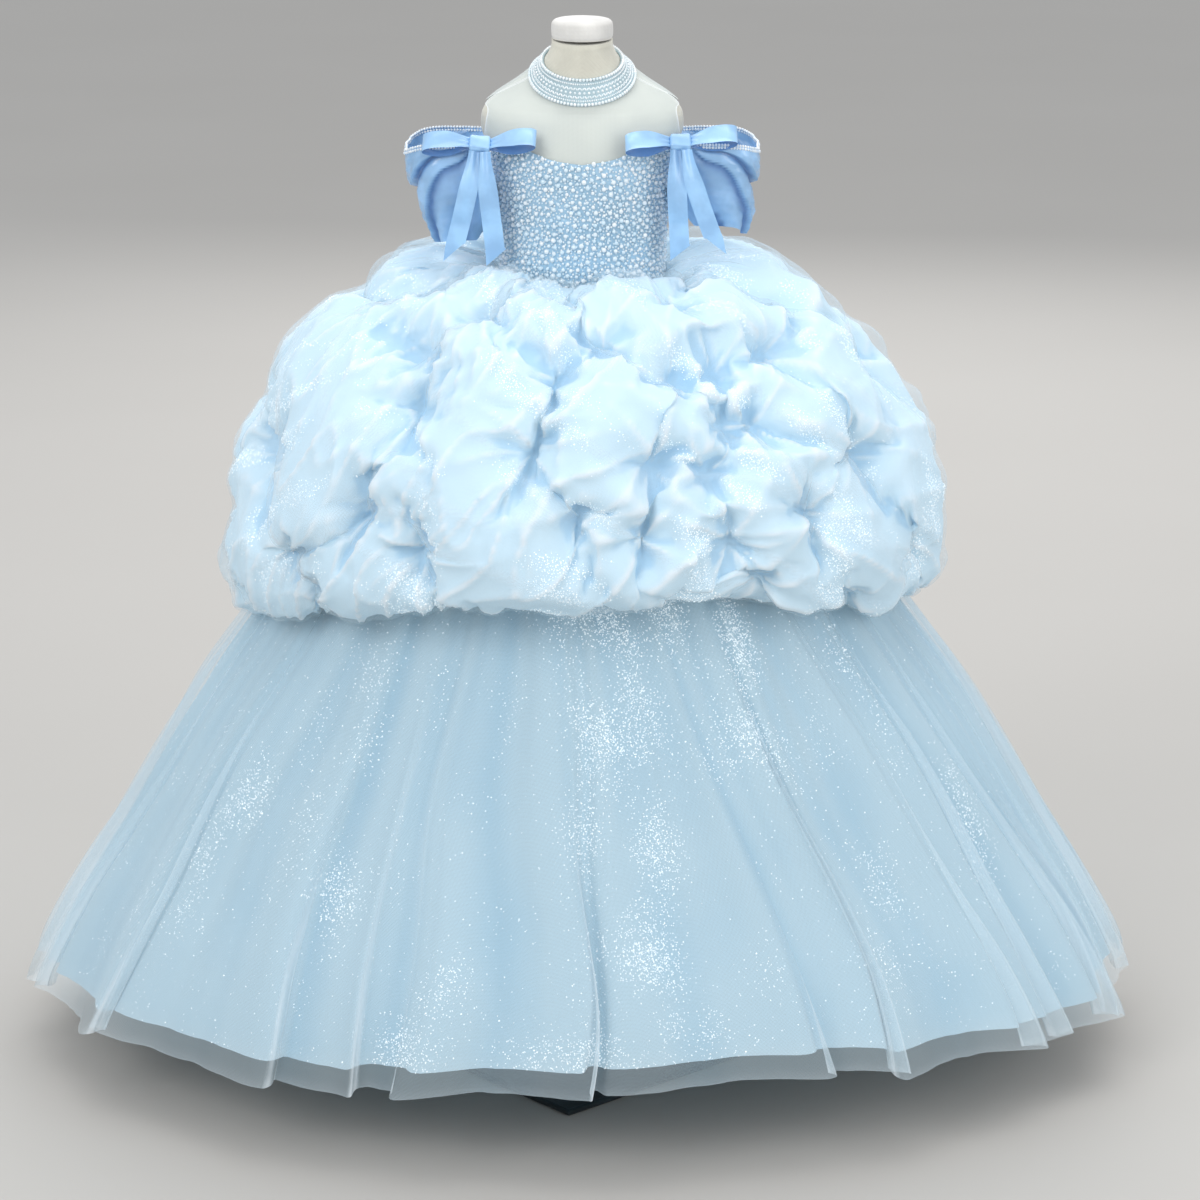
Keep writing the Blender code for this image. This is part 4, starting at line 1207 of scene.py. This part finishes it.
def measured(points, breaks):
    """Width at the hem, length and area of each gore of a grid."""
    found = []
    for chosen in gore_columns(breaks, points.shape[1]):
        grid = points[:, chosen]
        width = np.linalg.norm(np.diff(grid, axis=1), axis=2).sum(1).max()
        length = np.linalg.norm(np.diff(grid, axis=0), axis=2).sum(0).mean()
        across = grid[:-1, 1:] - grid[:-1, :-1]
        down = grid[1:, :-1] - grid[:-1, :-1]
        area = np.linalg.norm(np.cross(across, down), axis=2).sum()
        found.append((width, length, min(area, width * length)))
    return found


class DRESS_OT_form(bpy.types.Operator):
    """Cloth-covered torso, neck and neck cap of the dress form, and its painted stand"""

    bl_idname = "dress.form"
    bl_label = "Dress form and stand"

    def execute(self, context):
        colours = context.scene.dress_colours
        cloth = woven_material("form_cloth", tuple(colours.form), 0.85, 1100.0, 0.0003)
        cap_cloth = woven_material("form_cap_cloth", (0.84, 0.82, 0.78), 0.75, 1100.0, 0.0002)
        paint = paint_material("stand_paint", colours.stand)
        columns = 96
        angle = turns_of(columns)
        height = np.linspace(TORSO_FOOT, 1.236, 76)[:, None]
        ease = np.where(height < NECK_BASE_HEIGHT, -FORM_EASE, 0.0)
        seams = np.zeros((1, columns))
        for place in (0.0, 90.0, 180.0, 270.0):
            seams = seams + np.exp(-(folded(angle - place) / 1.6) ** 2)
        points = torso(angle, height + 0.0 * angle, ease - 0.0006 * seams)
        middle = np.zeros((1, columns, 3)) + np.array([0.0, 0.0, TORSO_FOOT])
        top = np.zeros((1, columns, 3)) + np.array([0.0, 0.0, 1.236])
        inner = points[-1:] * np.array([0.93, 0.93, 1.0])
        points = np.concatenate([middle, points, inner, top], 0)
        torso_piece = add_cloth("form_torso_cloth", points, cloth, closed=True)
        settle(torso_piece, "form_cloth", "form_torso")
        part = shares_of(28)
        columns = 72
        angle = turns_of(columns)
        radius = curve(NECK_CAP_PROFILE, part, 1) + 0.0 * angle
        points = ring(radius, radius, angle, curve(NECK_CAP_PROFILE, part, 2))
        cap = add_cloth("form_cap_cloth", points, cap_cloth, closed=True)
        settle(cap, "form_cloth", "form_neck_cap")
        for name in ("stand_pole", "stand_base"):
            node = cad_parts[name]
            node.data.materials.clear()
            node.data.materials.append(paint)
        return {"FINISHED"}


class DRESS_OT_collar(bpy.types.Operator):
    """Beaded band round the neck"""

    bl_idname = "dress.collar"
    bl_label = "Beaded collar"

    def execute(self, context):
        sizes = context.scene.dress_sizes
        cloth = woven_material("collar_cloth", (0.42, 0.56, 0.62), 0.5, 1200.0)
        columns = 160
        angle = turns_of(columns)
        heights = np.linspace(1.190, 1.2105, 9)[:, None]
        bulge = 0.0009 * np.sin(math.pi * (heights - 1.190) / 0.0205)
        outer = torso(angle, heights + 0.0 * angle, COLLAR_GAP + COLLAR_WALL - 0.0012 + bulge)
        inner = torso(angle, heights[::-1] + 0.0 * angle, COLLAR_GAP)
        band = add_cloth("collar_cloth", np.concatenate([outer, inner, outer[:1]], 0), cloth,
                         closed=True)
        settle(band, "beadwork", "collar_band")

        rows = []
        out = COLLAR_GAP + COLLAR_WALL - 0.0006
        for height, size, pitch, shift in ((1.1914, 1.0, 0.0042, 0.0), (1.1944, 0.60, 0.0027, 0.5),
                                           (1.2062, 0.60, 0.0027, 0.0), (1.2092, 1.0, 0.0042, 0.5)):
            around = torso(np.linspace(0.0, 360.0, 721), np.full(721, height), out)
            length = np.linalg.norm(np.diff(around, axis=0), axis=1).sum()
            count = round(length / pitch)
            turns = 360.0 * (np.arange(count) + shift) / count
            rows.append((turns, np.full(count, height), size, 1.0, 0.0))
        for middle, lean in ((1.1972, 1.0), (1.2030, -1.0), (1.1972, -1.0), (1.2030, 1.0)):
            count = 62
            turns = 360.0 * (np.arange(count) + (0.25 if lean > 0 else 0.75)) / count
            rows.append((turns, np.full(count, middle), 0.48, 2.4, lean))
        count = 62
        rows.append((360.0 * (np.arange(count) + 0.5) / count, np.full(count, 1.2001), 0.85, 1.0, 0.0))
        points, big, long, ways = [], [], [], []
        for turns, height, size, length, lean in rows:
            place = torso(turns, height, out)
            beside = torso(turns + 1.0, height, out) - place
            above = torso(turns, height + 0.001, out) - place
            way = unit(unit(beside) + unit(above) * lean * 1.5)
            points.append(place)
            big.append(np.full(len(turns), size))
            long.append(np.full(len(turns), length))
            ways.append(way)
        pale = pearl_material("collar_beads", (0.95, 0.97, 0.98), (0.74, 0.84, 0.87))
        beads = beads_on("collar_beads", np.concatenate(points), np.concatenate(big),
                         np.concatenate(long), np.concatenate(ways), sizes.bead, pale)
        settle(beads, "beadwork")
        return {"FINISHED"}


def yoke_edge(height):
    """Angle at which the yoke ends, at the armhole or on the shoulder."""
    half_width = curve(TORSO_RINGS, height, 2)
    return np.degrees(np.arcsin(np.minimum(1.0, YOKE_HALF_WIDTH / half_width)))


class DRESS_OT_yoke(bpy.types.Operator):
    """Sheer yoke in front and behind"""

    bl_idname = "dress.yoke"
    bl_label = "Sheer yoke"

    def execute(self, context):
        net = tulle_material("yoke_net", (0.80, 0.87, 0.86), (0.72, 0.82, 0.84), 0.50, 0.85)
        for name, middle in (("yoke_front", 0.0), ("yoke_back", 180.0)):
            across, rise = 72, 60
            corner_angle = 78.75
            corner = neckline(middle - corner_angle)
            part = shares_of(rise + 1)
            edge = yoke_edge(corner + (NECK_BASE_HEIGHT - corner) * part)
            edge = np.minimum(edge, corner_angle + (89.6 - corner_angle) * step(0.55, 0.80, part))
            share = np.linspace(-1.0, 1.0, across + 1)[None, :]
            angle = middle + edge * share
            low = neckline(angle) - 0.002
            height = low + (NECK_BASE_HEIGHT + 0.001 - low) * part
            points = torso(angle, height, YOKE_CLEARANCE - 0.0012)
            rim = np.clip((np.abs(share) - 0.975) / 0.02, 0.0, 1.0) + 0.0 * part
            marks = {"lift": 0.6 + 0.0 * angle, "edge": rim, "glitter": 0.0 * angle}
            piece = add_cloth(name + "_net", points, net, marks=marks)
            settle(piece, "yoke_mesh", name)
        return {"FINISHED"}


class DRESS_OT_bodice(bpy.types.Operator):
    """Bodice in two halves, densely sewn with pearls"""

    bl_idname = "dress.bodice"
    bl_label = "Pearl bodice"

    def execute(self, context):
        sizes, colours = context.scene.dress_sizes, context.scene.dress_colours
        cloth = woven_material("bodice_cloth", tuple(colours.bodice), 0.55, 1000.0)
        pearls = pearl_material("bodice_pearls", (0.92, 0.95, 0.97), (0.64, 0.80, 0.90))
        tree = scatter_tree()
        for name, middle, seed in (("bodice_front", 0.0, 3), ("bodice_back", 180.0, 8)):
            angle = (middle + np.linspace(-90.0, 90.0, 97))[None, :]
            part = shares_of(70)
            low = WAIST_HEIGHT - 0.001
            height = low + (neckline(angle) - low) * part
            out = FORM_CLEARANCE + BODICE_WALL - 0.0008
            points = torso(angle + 0.0 * part, height, out)
            piece = add_cloth(name + "_cloth", points, cloth)
            settle(piece, "bodice_cloth", name)
            for title, spacing, diameter, fineness, shift in (
                    ("large", sizes.pearl_large * 1.12, sizes.pearl_large, 8, 0),
                    ("small", sizes.pearl_small * 1.06, sizes.pearl_small, 5, 1)):
                values = {"Spacing": spacing, "Diameter": diameter, "Variation": 0.38,
                          "Lift": diameter * 0.14, "Fineness": fineness, "Seed": seed + shift,
                          "Material": pearls}
                row = grown(name + "_pearls_" + title, piece, tree, values)
                settle(row, "bodice_cloth")
        return {"FINISHED"}


def sleeve_level(edge, turn):
    """Height of a sleeve's rim or hem at a turn round it, 0 next to the body."""
    body, side, outside = edge
    inward = np.cos(turn)
    share = step(0.55, 0.92, inward)
    return np.where(inward > 0.0, side + (body - side) * share,
                    side + (outside - side) * inward * inward)


class DRESS_OT_sleeves(bpy.types.Operator):
    """Pleated satin sleeves with a pearl trim on the rim"""

    bl_idname = "dress.sleeves"
    bl_label = "Pleated sleeves"

    def execute(self, context):
        colours = context.scene.dress_colours
        satin = satin_material("sleeve_satin", colours.satin)
        pearls = pearl_material("trim_pearls", (0.90, 0.94, 0.97), (0.66, 0.78, 0.90))
        power = 2.0 / SLEEVE_SQUARENESS
        for side, sign in (("left", -1.0), ("right", 1.0)):
            rings, edges = SLEEVE_RINGS[side], SLEEVE_EDGES[side]
            columns = 128
            turn = (2.0 * math.pi * np.arange(columns) / columns)[None, :]
            part = shares_of(100)
            rim, hem = sleeve_level(edges["rim"], turn), sleeve_level(edges["hem"], turn)
            height = rim + (hem - rim) * part
            shown = 0.5 - 0.5 * np.cos(turn)
            fold = np.pi - np.abs(np.pi - turn)
            aside = np.maximum(fold - KNOT_TURN, 0.0) * SLEEVE_REACH
            below = part * SLEEVE_DROP + 0.004
            fan = np.arctan2(below, aside + 1e-4) / (0.5 * math.pi)
            ease = step(0.004, 0.034, np.hypot(below, aside))
            pull = 0.0011 * np.sin(turn * 9.0 + part * 14.0) * np.sin(math.pi * part) * shown
            pull = pull + 0.0008 * soft_noise(turn * 2.0, part * 7.0, 51) * shown
            out = SATIN_WALL + curve(PLEATS, fan, 1) * np.maximum(shown, 0.45) * ease + pull
            # Painted shade in the pleats' pockets
            painted_pocket_shade = np.clip(curve(PLEATS, fan, 2), 0.0, 1.0) * ease * step(0.2, 0.5, shown)
            middle = curve(rings, height, 1)
            across, along = np.cos(turn), np.sin(turn)
            reach_x = np.sign(across) * np.abs(across) ** power
            reach_y = np.sign(along) * np.abs(along) ** power
            x = sign * (middle - (curve(rings, height, 2) + out) * reach_x)
            y = (curve(rings, height, 3) + out) * reach_y
            points = np.stack([x, y, height], -1)
            piece = add_cloth("sleeve_%s_satin" % side, points, satin, closed=True,
                              downward=sign < 0, marks={"painted_pocket_shade": painted_pocket_shade})
            settle(piece, "satin", "sleeve_" + side)
            rims = []
            for offset, size in ((0.0005, 0.0), (-0.0028, 0.5)):
                line = points[0 if offset > 0 else 3]
                steps = np.linalg.norm(np.diff(np.concatenate([line, line[:1]]), axis=0), axis=1)
                lengths = np.concatenate([[0.0], np.cumsum(steps)])
                count = round(lengths[-1] / 0.0036)
                spots = (np.arange(count) + size) / count * lengths[-1]
                looped = np.concatenate([line, line[:1]])
                rims.append(np.stack([np.interp(spots, lengths, looped[:, i]) for i in range(3)], -1))
            place = np.concatenate(rims)
            way = np.zeros_like(place) + np.array([1.0, 0.0, 0.0])
            trim = beads_on("sleeve_%s_trim" % side, place, np.full(len(place), 1.0),
                            np.full(len(place), 1.0), way, 0.0036, pearls)
            settle(trim, "beadwork")
        return {"FINISHED"}


def turned(vector, degrees, axis):
    """Vector turned about X or Y."""
    a = math.radians(degrees)
    x, y, z = vector
    if axis == "X":
        return np.array([x, y * math.cos(a) - z * math.sin(a), y * math.sin(a) + z * math.cos(a)])
    return np.array([x * math.cos(a) + z * math.sin(a), y, -x * math.sin(a) + z * math.cos(a)])


class DRESS_OT_bows(bpy.types.Operator):
    """Two satin bows, each with a knot, two loops and two tails"""

    bl_idname = "dress.bows"
    bl_label = "Satin bows"

    def execute(self, context):
        sizes, colours = context.scene.dress_sizes, context.scene.dress_colours
        satin = satin_material("bow_satin", tuple(min(1.0, c * 1.12) for c in colours.satin))
        for side, bow in BOWS.items():
            knot = np.array(bow["knot"])
            along = turned((1.0, 0.0, 0.0), -bow["turn"], "Y")
            down = turned(turned((0.0, -1.0, 0.0), BOW_TILT, "X"), -bow["turn"], "Y")
            out = turned(turned((0.0, 0.0, 1.0), BOW_TILT, "X"), -bow["turn"], "Y")
            self.add_knot(side, knot, along, down, out, satin)
            for direction, length, turn, forward in bow["loops"]:
                way = turned(along * direction, -turn * direction, "Y")
                way = unit(way + np.array([0.0, -forward, 0.0]))
                self.add_loop(side, knot, along, down, out, satin, direction, length, way,
                              sizes.ribbon)
            for number, row in enumerate(bow["tails"], 1):
                self.add_tail(side, knot, along, down, satin, number, row, sizes.ribbon)
        return {"FINISHED"}

    def add_knot(self, side, knot, along, down, out, satin):
        """Wrapped band of the knot, pinched a little and creased along."""
        half = np.array(KNOT_SIZE) / 2.0
        reach = np.linspace(-1.0, 1.0, 17)[:, None]
        turn = np.linspace(0.0, 2.0 * math.pi, 49)[None, :-1]
        waist = 0.90 + 0.10 * reach ** 2
        closing = np.sqrt(np.clip(1.0 - np.abs(reach) ** 6, 0.0, 1.0)) * 0.25 + 0.75
        crease = 1.0 + 0.035 * np.cos(7.0 * turn + 1.5 * reach)
        a = np.sign(np.cos(turn)) * np.abs(np.cos(turn)) ** 0.6 * half[2] * waist * closing * crease
        b = np.sign(np.sin(turn)) * np.abs(np.sin(turn)) ** 0.6 * half[1] * waist * closing * crease
        grid = (knot + along * half[0] * reach[..., None]
                + down * a[..., None] + out * b[..., None])
        ends = []
        for row in (0, -1):
            ends.append(np.zeros((1, turn.shape[1], 3)) + grid[row].mean(0))
        grid = np.concatenate([ends[0], grid, ends[1]], 0)
        piece = add_cloth("bow_%s_knot_satin" % side, grid, satin, closed=True)
        settle(piece, "satin", "bow_%s_knot" % side)

    def add_loop(self, side, knot, along, down, out, satin, direction, length, way, ribbon):
        """Full loop of ribbon, gathered where it enters the knot."""
        start = knot + along * direction * (KNOT_SIZE[0] / 2.0 - 0.001)
        swing = (2.0 * math.pi * (0.02 + 0.96 * np.linspace(0.0, 1.0, 65)))[:, None]
        body = (1.0 - np.cos(swing)) / 2.0
        lift = -LOOP_HEIGHT / 2.0 * 1.15 * np.sin(swing) * body ** 0.5
        lift = lift - LOOP_PINCH * np.cos(swing / 2.0)
        across = np.linspace(-1.0, 1.0, 17)[None, :]
        fullness = 0.60 + 0.40 * step(0.0, 0.55, body)
        pinch = np.exp(-(body / 0.16) ** 2)
        gather = 0.0011 * np.cos(across * math.pi * 2.6) * pinch
        cup = 0.0016 * (1.0 - across ** 2) * np.sign(math.pi - swing) * body
        ripple = 0.0009 * np.sin(across * 3.0 + swing * 2.0) * body
        grid = (start + way * (length * body)[..., None]
                + out * (lift + gather + cup + ripple)[..., None]
                + down * (ribbon / 2.0 * fullness * across)[..., None])
        title = "outer" if direction * knot[0] > 0 else "inner"
        # The first half of the loop, up to its far end, gets painted shade, as its inside would be
        # shaded
        piece = add_cloth("bow_%s_loop_%s_satin" % (side, title), grid, satin,
                          downward=direction > 0,
                          marks={"painted_pocket_shade": 0.9 * (swing < 0.97 * math.pi) + 0.0 * grid[..., 0]})
        settle(piece, "satin", "bow_%s_loop_%s" % (side, title))

    def add_tail(self, side, knot, along, down, satin, number, row, ribbon):
        """Hanging end of the ribbon with a slanted cut."""
        shift, drop, spread_out, slant = row
        top = knot + along * shift + down * (KNOT_SIZE[2] / 2.0 + TAIL_DROP - 0.002)
        part = shares_of(49)
        across = np.linspace(-1.0, 1.0, 13)[None, :]
        x = spread_out * part ** 1.3
        y = TAIL_FALL * part - TAIL_BULGE * np.sin(math.pi * np.minimum(1.0, part * 1.4))
        y = y - TAIL_LAYER * (number - 1)
        fullness = 0.55 + 0.45 * step(0.0, 0.4, part)
        fold = 0.0022 * np.cos(across * math.pi * 1.1 + number) * (1.0 - step(0.0, 0.75, part))
        wave = 0.0012 * np.sin(part * 7.0 + number * 2.0)
        half = ribbon / 2.0 * fullness * across
        cut = -slant * across * step(0.90, 1.0, part)
        grid = np.stack([top[0] + x + half, top[1] + y - fold + wave,
                         top[2] - drop * part + cut], -1)
        piece = add_cloth("bow_%s_tail_%d_satin" % (side, number), grid, satin, downward=True)
        settle(piece, "satin", "bow_%s_tail_%d" % (side, number))


class DRESS_OT_skirt(bpy.types.Operator):
    """Lining, glittered tulle and sheer outer tulle of the long skirt, each in four gores"""

    bl_idname = "dress.skirt"
    bl_label = "Long skirt"

    def execute(self, context):
        sizes, colours = context.scene.dress_sizes, context.scene.dress_colours
        lining = woven_material("lining_cloth", tuple(colours.lining), 0.6, 800.0, 0.0002, deep=0.93)
        columns = 176
        angle = turns_of(columns, -45.0)
        level = shares_of(36)
        top = LINING_PROFILE[-1][0]
        height = top + (LINING_PROFILE[0][0] - top) * level + 0.0 * angle
        wave = LINING_WAVE * level * np.sin(np.radians(LINING_WAVES * angle))
        wave = wave + 0.003 * soft_noise(angle / 12.0, level * 3.0, 61) * level
        points = ring(curve(LINING_PROFILE, height, 1) + wave,
                      curve(LINING_PROFILE, height, 2) + wave, angle, height)
        breaks = [0, 44, 88, 132]
        gores("lining_cloth", points, {}, breaks, lining, "lining_cloth", "lining",
              measured(points, breaks))

        # The under tulle's second colour is painted shade off the fold crests; its marked fold edges
        # get a painted highlight
        under = tulle_material("skirt_under_tulle", (0.46, 0.62, 0.71), (0.31, 0.51, 0.65),
                               1.0, 1.0)
        points, marks = skirt_grid(12, 44, sizes.layer_gap, 0.7, hem_lift=0.022)
        marks["edge"] = marks["edge"] * 0.4
        breaks = [number * 12 for number in SKIRT_SEAMS]
        pieces = gores("skirt_under", points, marks, breaks, under, "skirt_tulle", None,
                       measured(points, breaks))
        flakes = flake_tree()
        silver = glitter_material("skirt_glitter")
        for number, piece in enumerate(pieces):
            values = {"Density": SKIRT_GLITTER, "Width": sizes.flake, "Seed": 20 + number,
                      "Material": silver}
            glitter = grown(piece.name + "_glitter", piece, flakes, values)
            settle(glitter, "skirt_tulle")

        # The veil's second colour is painted shade off the fold crests; its fold edges are denser with
        # a painted highlight
        veil = tulle_material("skirt_veil", tuple(colours.veil), (0.50, 0.72, 0.86), 0.20, 0.62)
        points, marks = skirt_grid(24, 56, 0.0, 1.0)
        breaks = [number * 24 for number in SKIRT_SEAMS]
        gores("skirt_veil", points, marks, breaks, veil, "skirt_tulle", "skirt",
              measured(points, breaks))
        return {"FINISHED"}


class DRESS_OT_overskirt(bpy.types.Operator):
    """Puffed overskirt in four gores, with its sheer outer layer and its glitter"""

    bl_idname = "dress.overskirt"
    bl_label = "Puffed overskirt"

    def execute(self, context):
        sizes, colours = context.scene.dress_sizes, context.scene.dress_colours
        # Puff tulle and veil: second colours are painted shade in the hollows, first colours painted
        # light on the billows
        body = tulle_material("puff_tulle", tuple(colours.tulle), tuple(colours.tulle_painted_shade),
                              1.0, 1.0)
        veil = tulle_material("puff_veil", tuple(colours.veil), (0.60, 0.80, 0.92), 0.10, 0.60)
        silver = glitter_material("puff_glitter")
        flakes = flake_tree()
        breaks = [PUFF_COLUMNS // 2 * number for number in range(4)]
        (points, marks), (outer, outer_marks) = overskirt_grids(sizes)
        pieces = gores("overskirt_body", points, marks, breaks, body, "puff_tulle", "overskirt",
                       measured(points, breaks))
        breaks = [number // 2 for number in breaks]
        gores("overskirt_veil", outer, outer_marks, breaks, veil, "puff_tulle", None,
              measured(outer, breaks))
        for number, piece in enumerate(pieces):
            values = {"Density": PUFF_GLITTER, "Width": sizes.flake, "Seed": 40 + number,
                      "Material": silver}
            glitter = grown(piece.name + "_glitter", piece, flakes, values)
            settle(glitter, "puff_tulle")
        return {"FINISHED"}


class DRESS_OT_stage(bpy.types.Operator):
    """Pale floor, soft studio light and the camera"""

    bl_idname = "dress.stage"
    bl_label = "Floor, light and camera"

    def execute(self, context):
        scene = context.scene
        material, tree, shader = new_material("stage_floor", 0.9)
        place = add_node(tree, "ShaderNodeTexCoord").outputs["Object"]
        cloud = add_node(tree, "ShaderNodeTexNoise", Vector=place, Scale=1.2).outputs[0]
        mixed = blend(tree, cloud, (0.52, 0.50, 0.47), (0.55, 0.53, 0.50))
        tree.links.new(mixed, shader.inputs["Base Color"])
        mesh = bpy.data.meshes.new("stage_floor")
        reach = 30.0
        mesh.from_pydata([(-reach, -reach, -0.0005), (reach, -reach, -0.0005),
                          (reach, reach, -0.0005), (-reach, reach, -0.0005)], [], [(0, 1, 2, 3)])
        mesh.materials.append(material)
        floor = bpy.data.objects.new("stage_floor", mesh)
        scene.collection.objects.link(floor)

        world = bpy.data.worlds.new("studio")
        world.use_nodes = True
        background = world.node_tree.nodes["Background"]
        background.inputs["Color"].default_value = (0.93, 0.96, 1.0, 1.0)
        background.inputs["Strength"].default_value = 0.72
        scene.world = world
        for name, where, size, power in (
                ("key", (-2.4, -3.4, 3.6), 2.4, 80.0), ("fill", (3.2, -3.0, 2.4), 3.0, 55.0),
                ("top", (0.2, 0.6, 4.2), 3.0, 45.0), ("back", (0.4, 4.2, 2.6), 3.0, 50.0)):
            light = bpy.data.lights.new(name, "AREA")
            light.size = size
            light.energy = power
            lamp = bpy.data.objects.new(name, light)
            lamp.location = where
            aim = np.array([0.0, 0.0, 0.7]) - np.array(where)
            flat = math.hypot(aim[0], aim[1])
            turn = math.atan2(aim[1], aim[0]) - math.pi / 2
            lamp.rotation_euler = (math.atan2(flat, -aim[2]), 0.0, turn)
            scene.collection.objects.link(lamp)

        camera = bpy.data.cameras.new("photo_view")
        camera.sensor_width = 36.0
        camera.lens = CAMERA_LENS
        camera.clip_end = 100.0
        viewer = bpy.data.objects.new("photo_view", camera)
        viewer.location = CAMERA_PLACE
        viewer.rotation_euler = (math.radians(CAMERA_TILT), 0.0, 0.0)
        scene.collection.objects.link(viewer)
        scene.camera = viewer
        scene.view_settings.view_transform = "Standard"
        return {"FINISHED"}


class DRESS_PT_panel(bpy.types.Panel):
    """Sizes, colours and pieces of the dress"""

    bl_idname = "DRESS_PT_panel"
    bl_label = "Princess dress"
    bl_space_type = "VIEW_3D"
    bl_region_type = "UI"
    bl_category = "Dress"

    def draw(self, context):
        for group in (context.scene.dress_sizes, context.scene.dress_colours):
            for name in group.bl_rna.properties.keys():
                if name not in ("rna_type", "name"):
                    self.layout.prop(group, name)
        for operator in OPERATORS:
            self.layout.operator(operator.bl_idname)


OPERATORS = (DRESS_OT_stage, DRESS_OT_form, DRESS_OT_collar, DRESS_OT_yoke, DRESS_OT_bodice,
             DRESS_OT_sleeves, DRESS_OT_bows, DRESS_OT_skirt, DRESS_OT_overskirt)
CLASSES = (DressSizes, DressColours, *OPERATORS, DRESS_PT_panel)


def register():
    """Make the operators, the panel and their values known."""
    for item in CLASSES:
        bpy.utils.register_class(item)
    bpy.types.Scene.dress_sizes = bpy.props.PointerProperty(type=DressSizes)
    bpy.types.Scene.dress_colours = bpy.props.PointerProperty(type=DressColours)


def unregister():
    """Take them away again."""
    del bpy.types.Scene.dress_sizes
    del bpy.types.Scene.dress_colours
    for item in reversed(CLASSES):
        bpy.utils.unregister_class(item)


def main():
    """Build every piece."""
    register()
    bpy.ops.dress.stage()
    bpy.ops.dress.form()
    bpy.ops.dress.collar()
    bpy.ops.dress.yoke()
    bpy.ops.dress.bodice()
    bpy.ops.dress.sleeves()
    bpy.ops.dress.bows()
    bpy.ops.dress.skirt()
    bpy.ops.dress.overskirt()


if __name__ == "__main__":
    main()
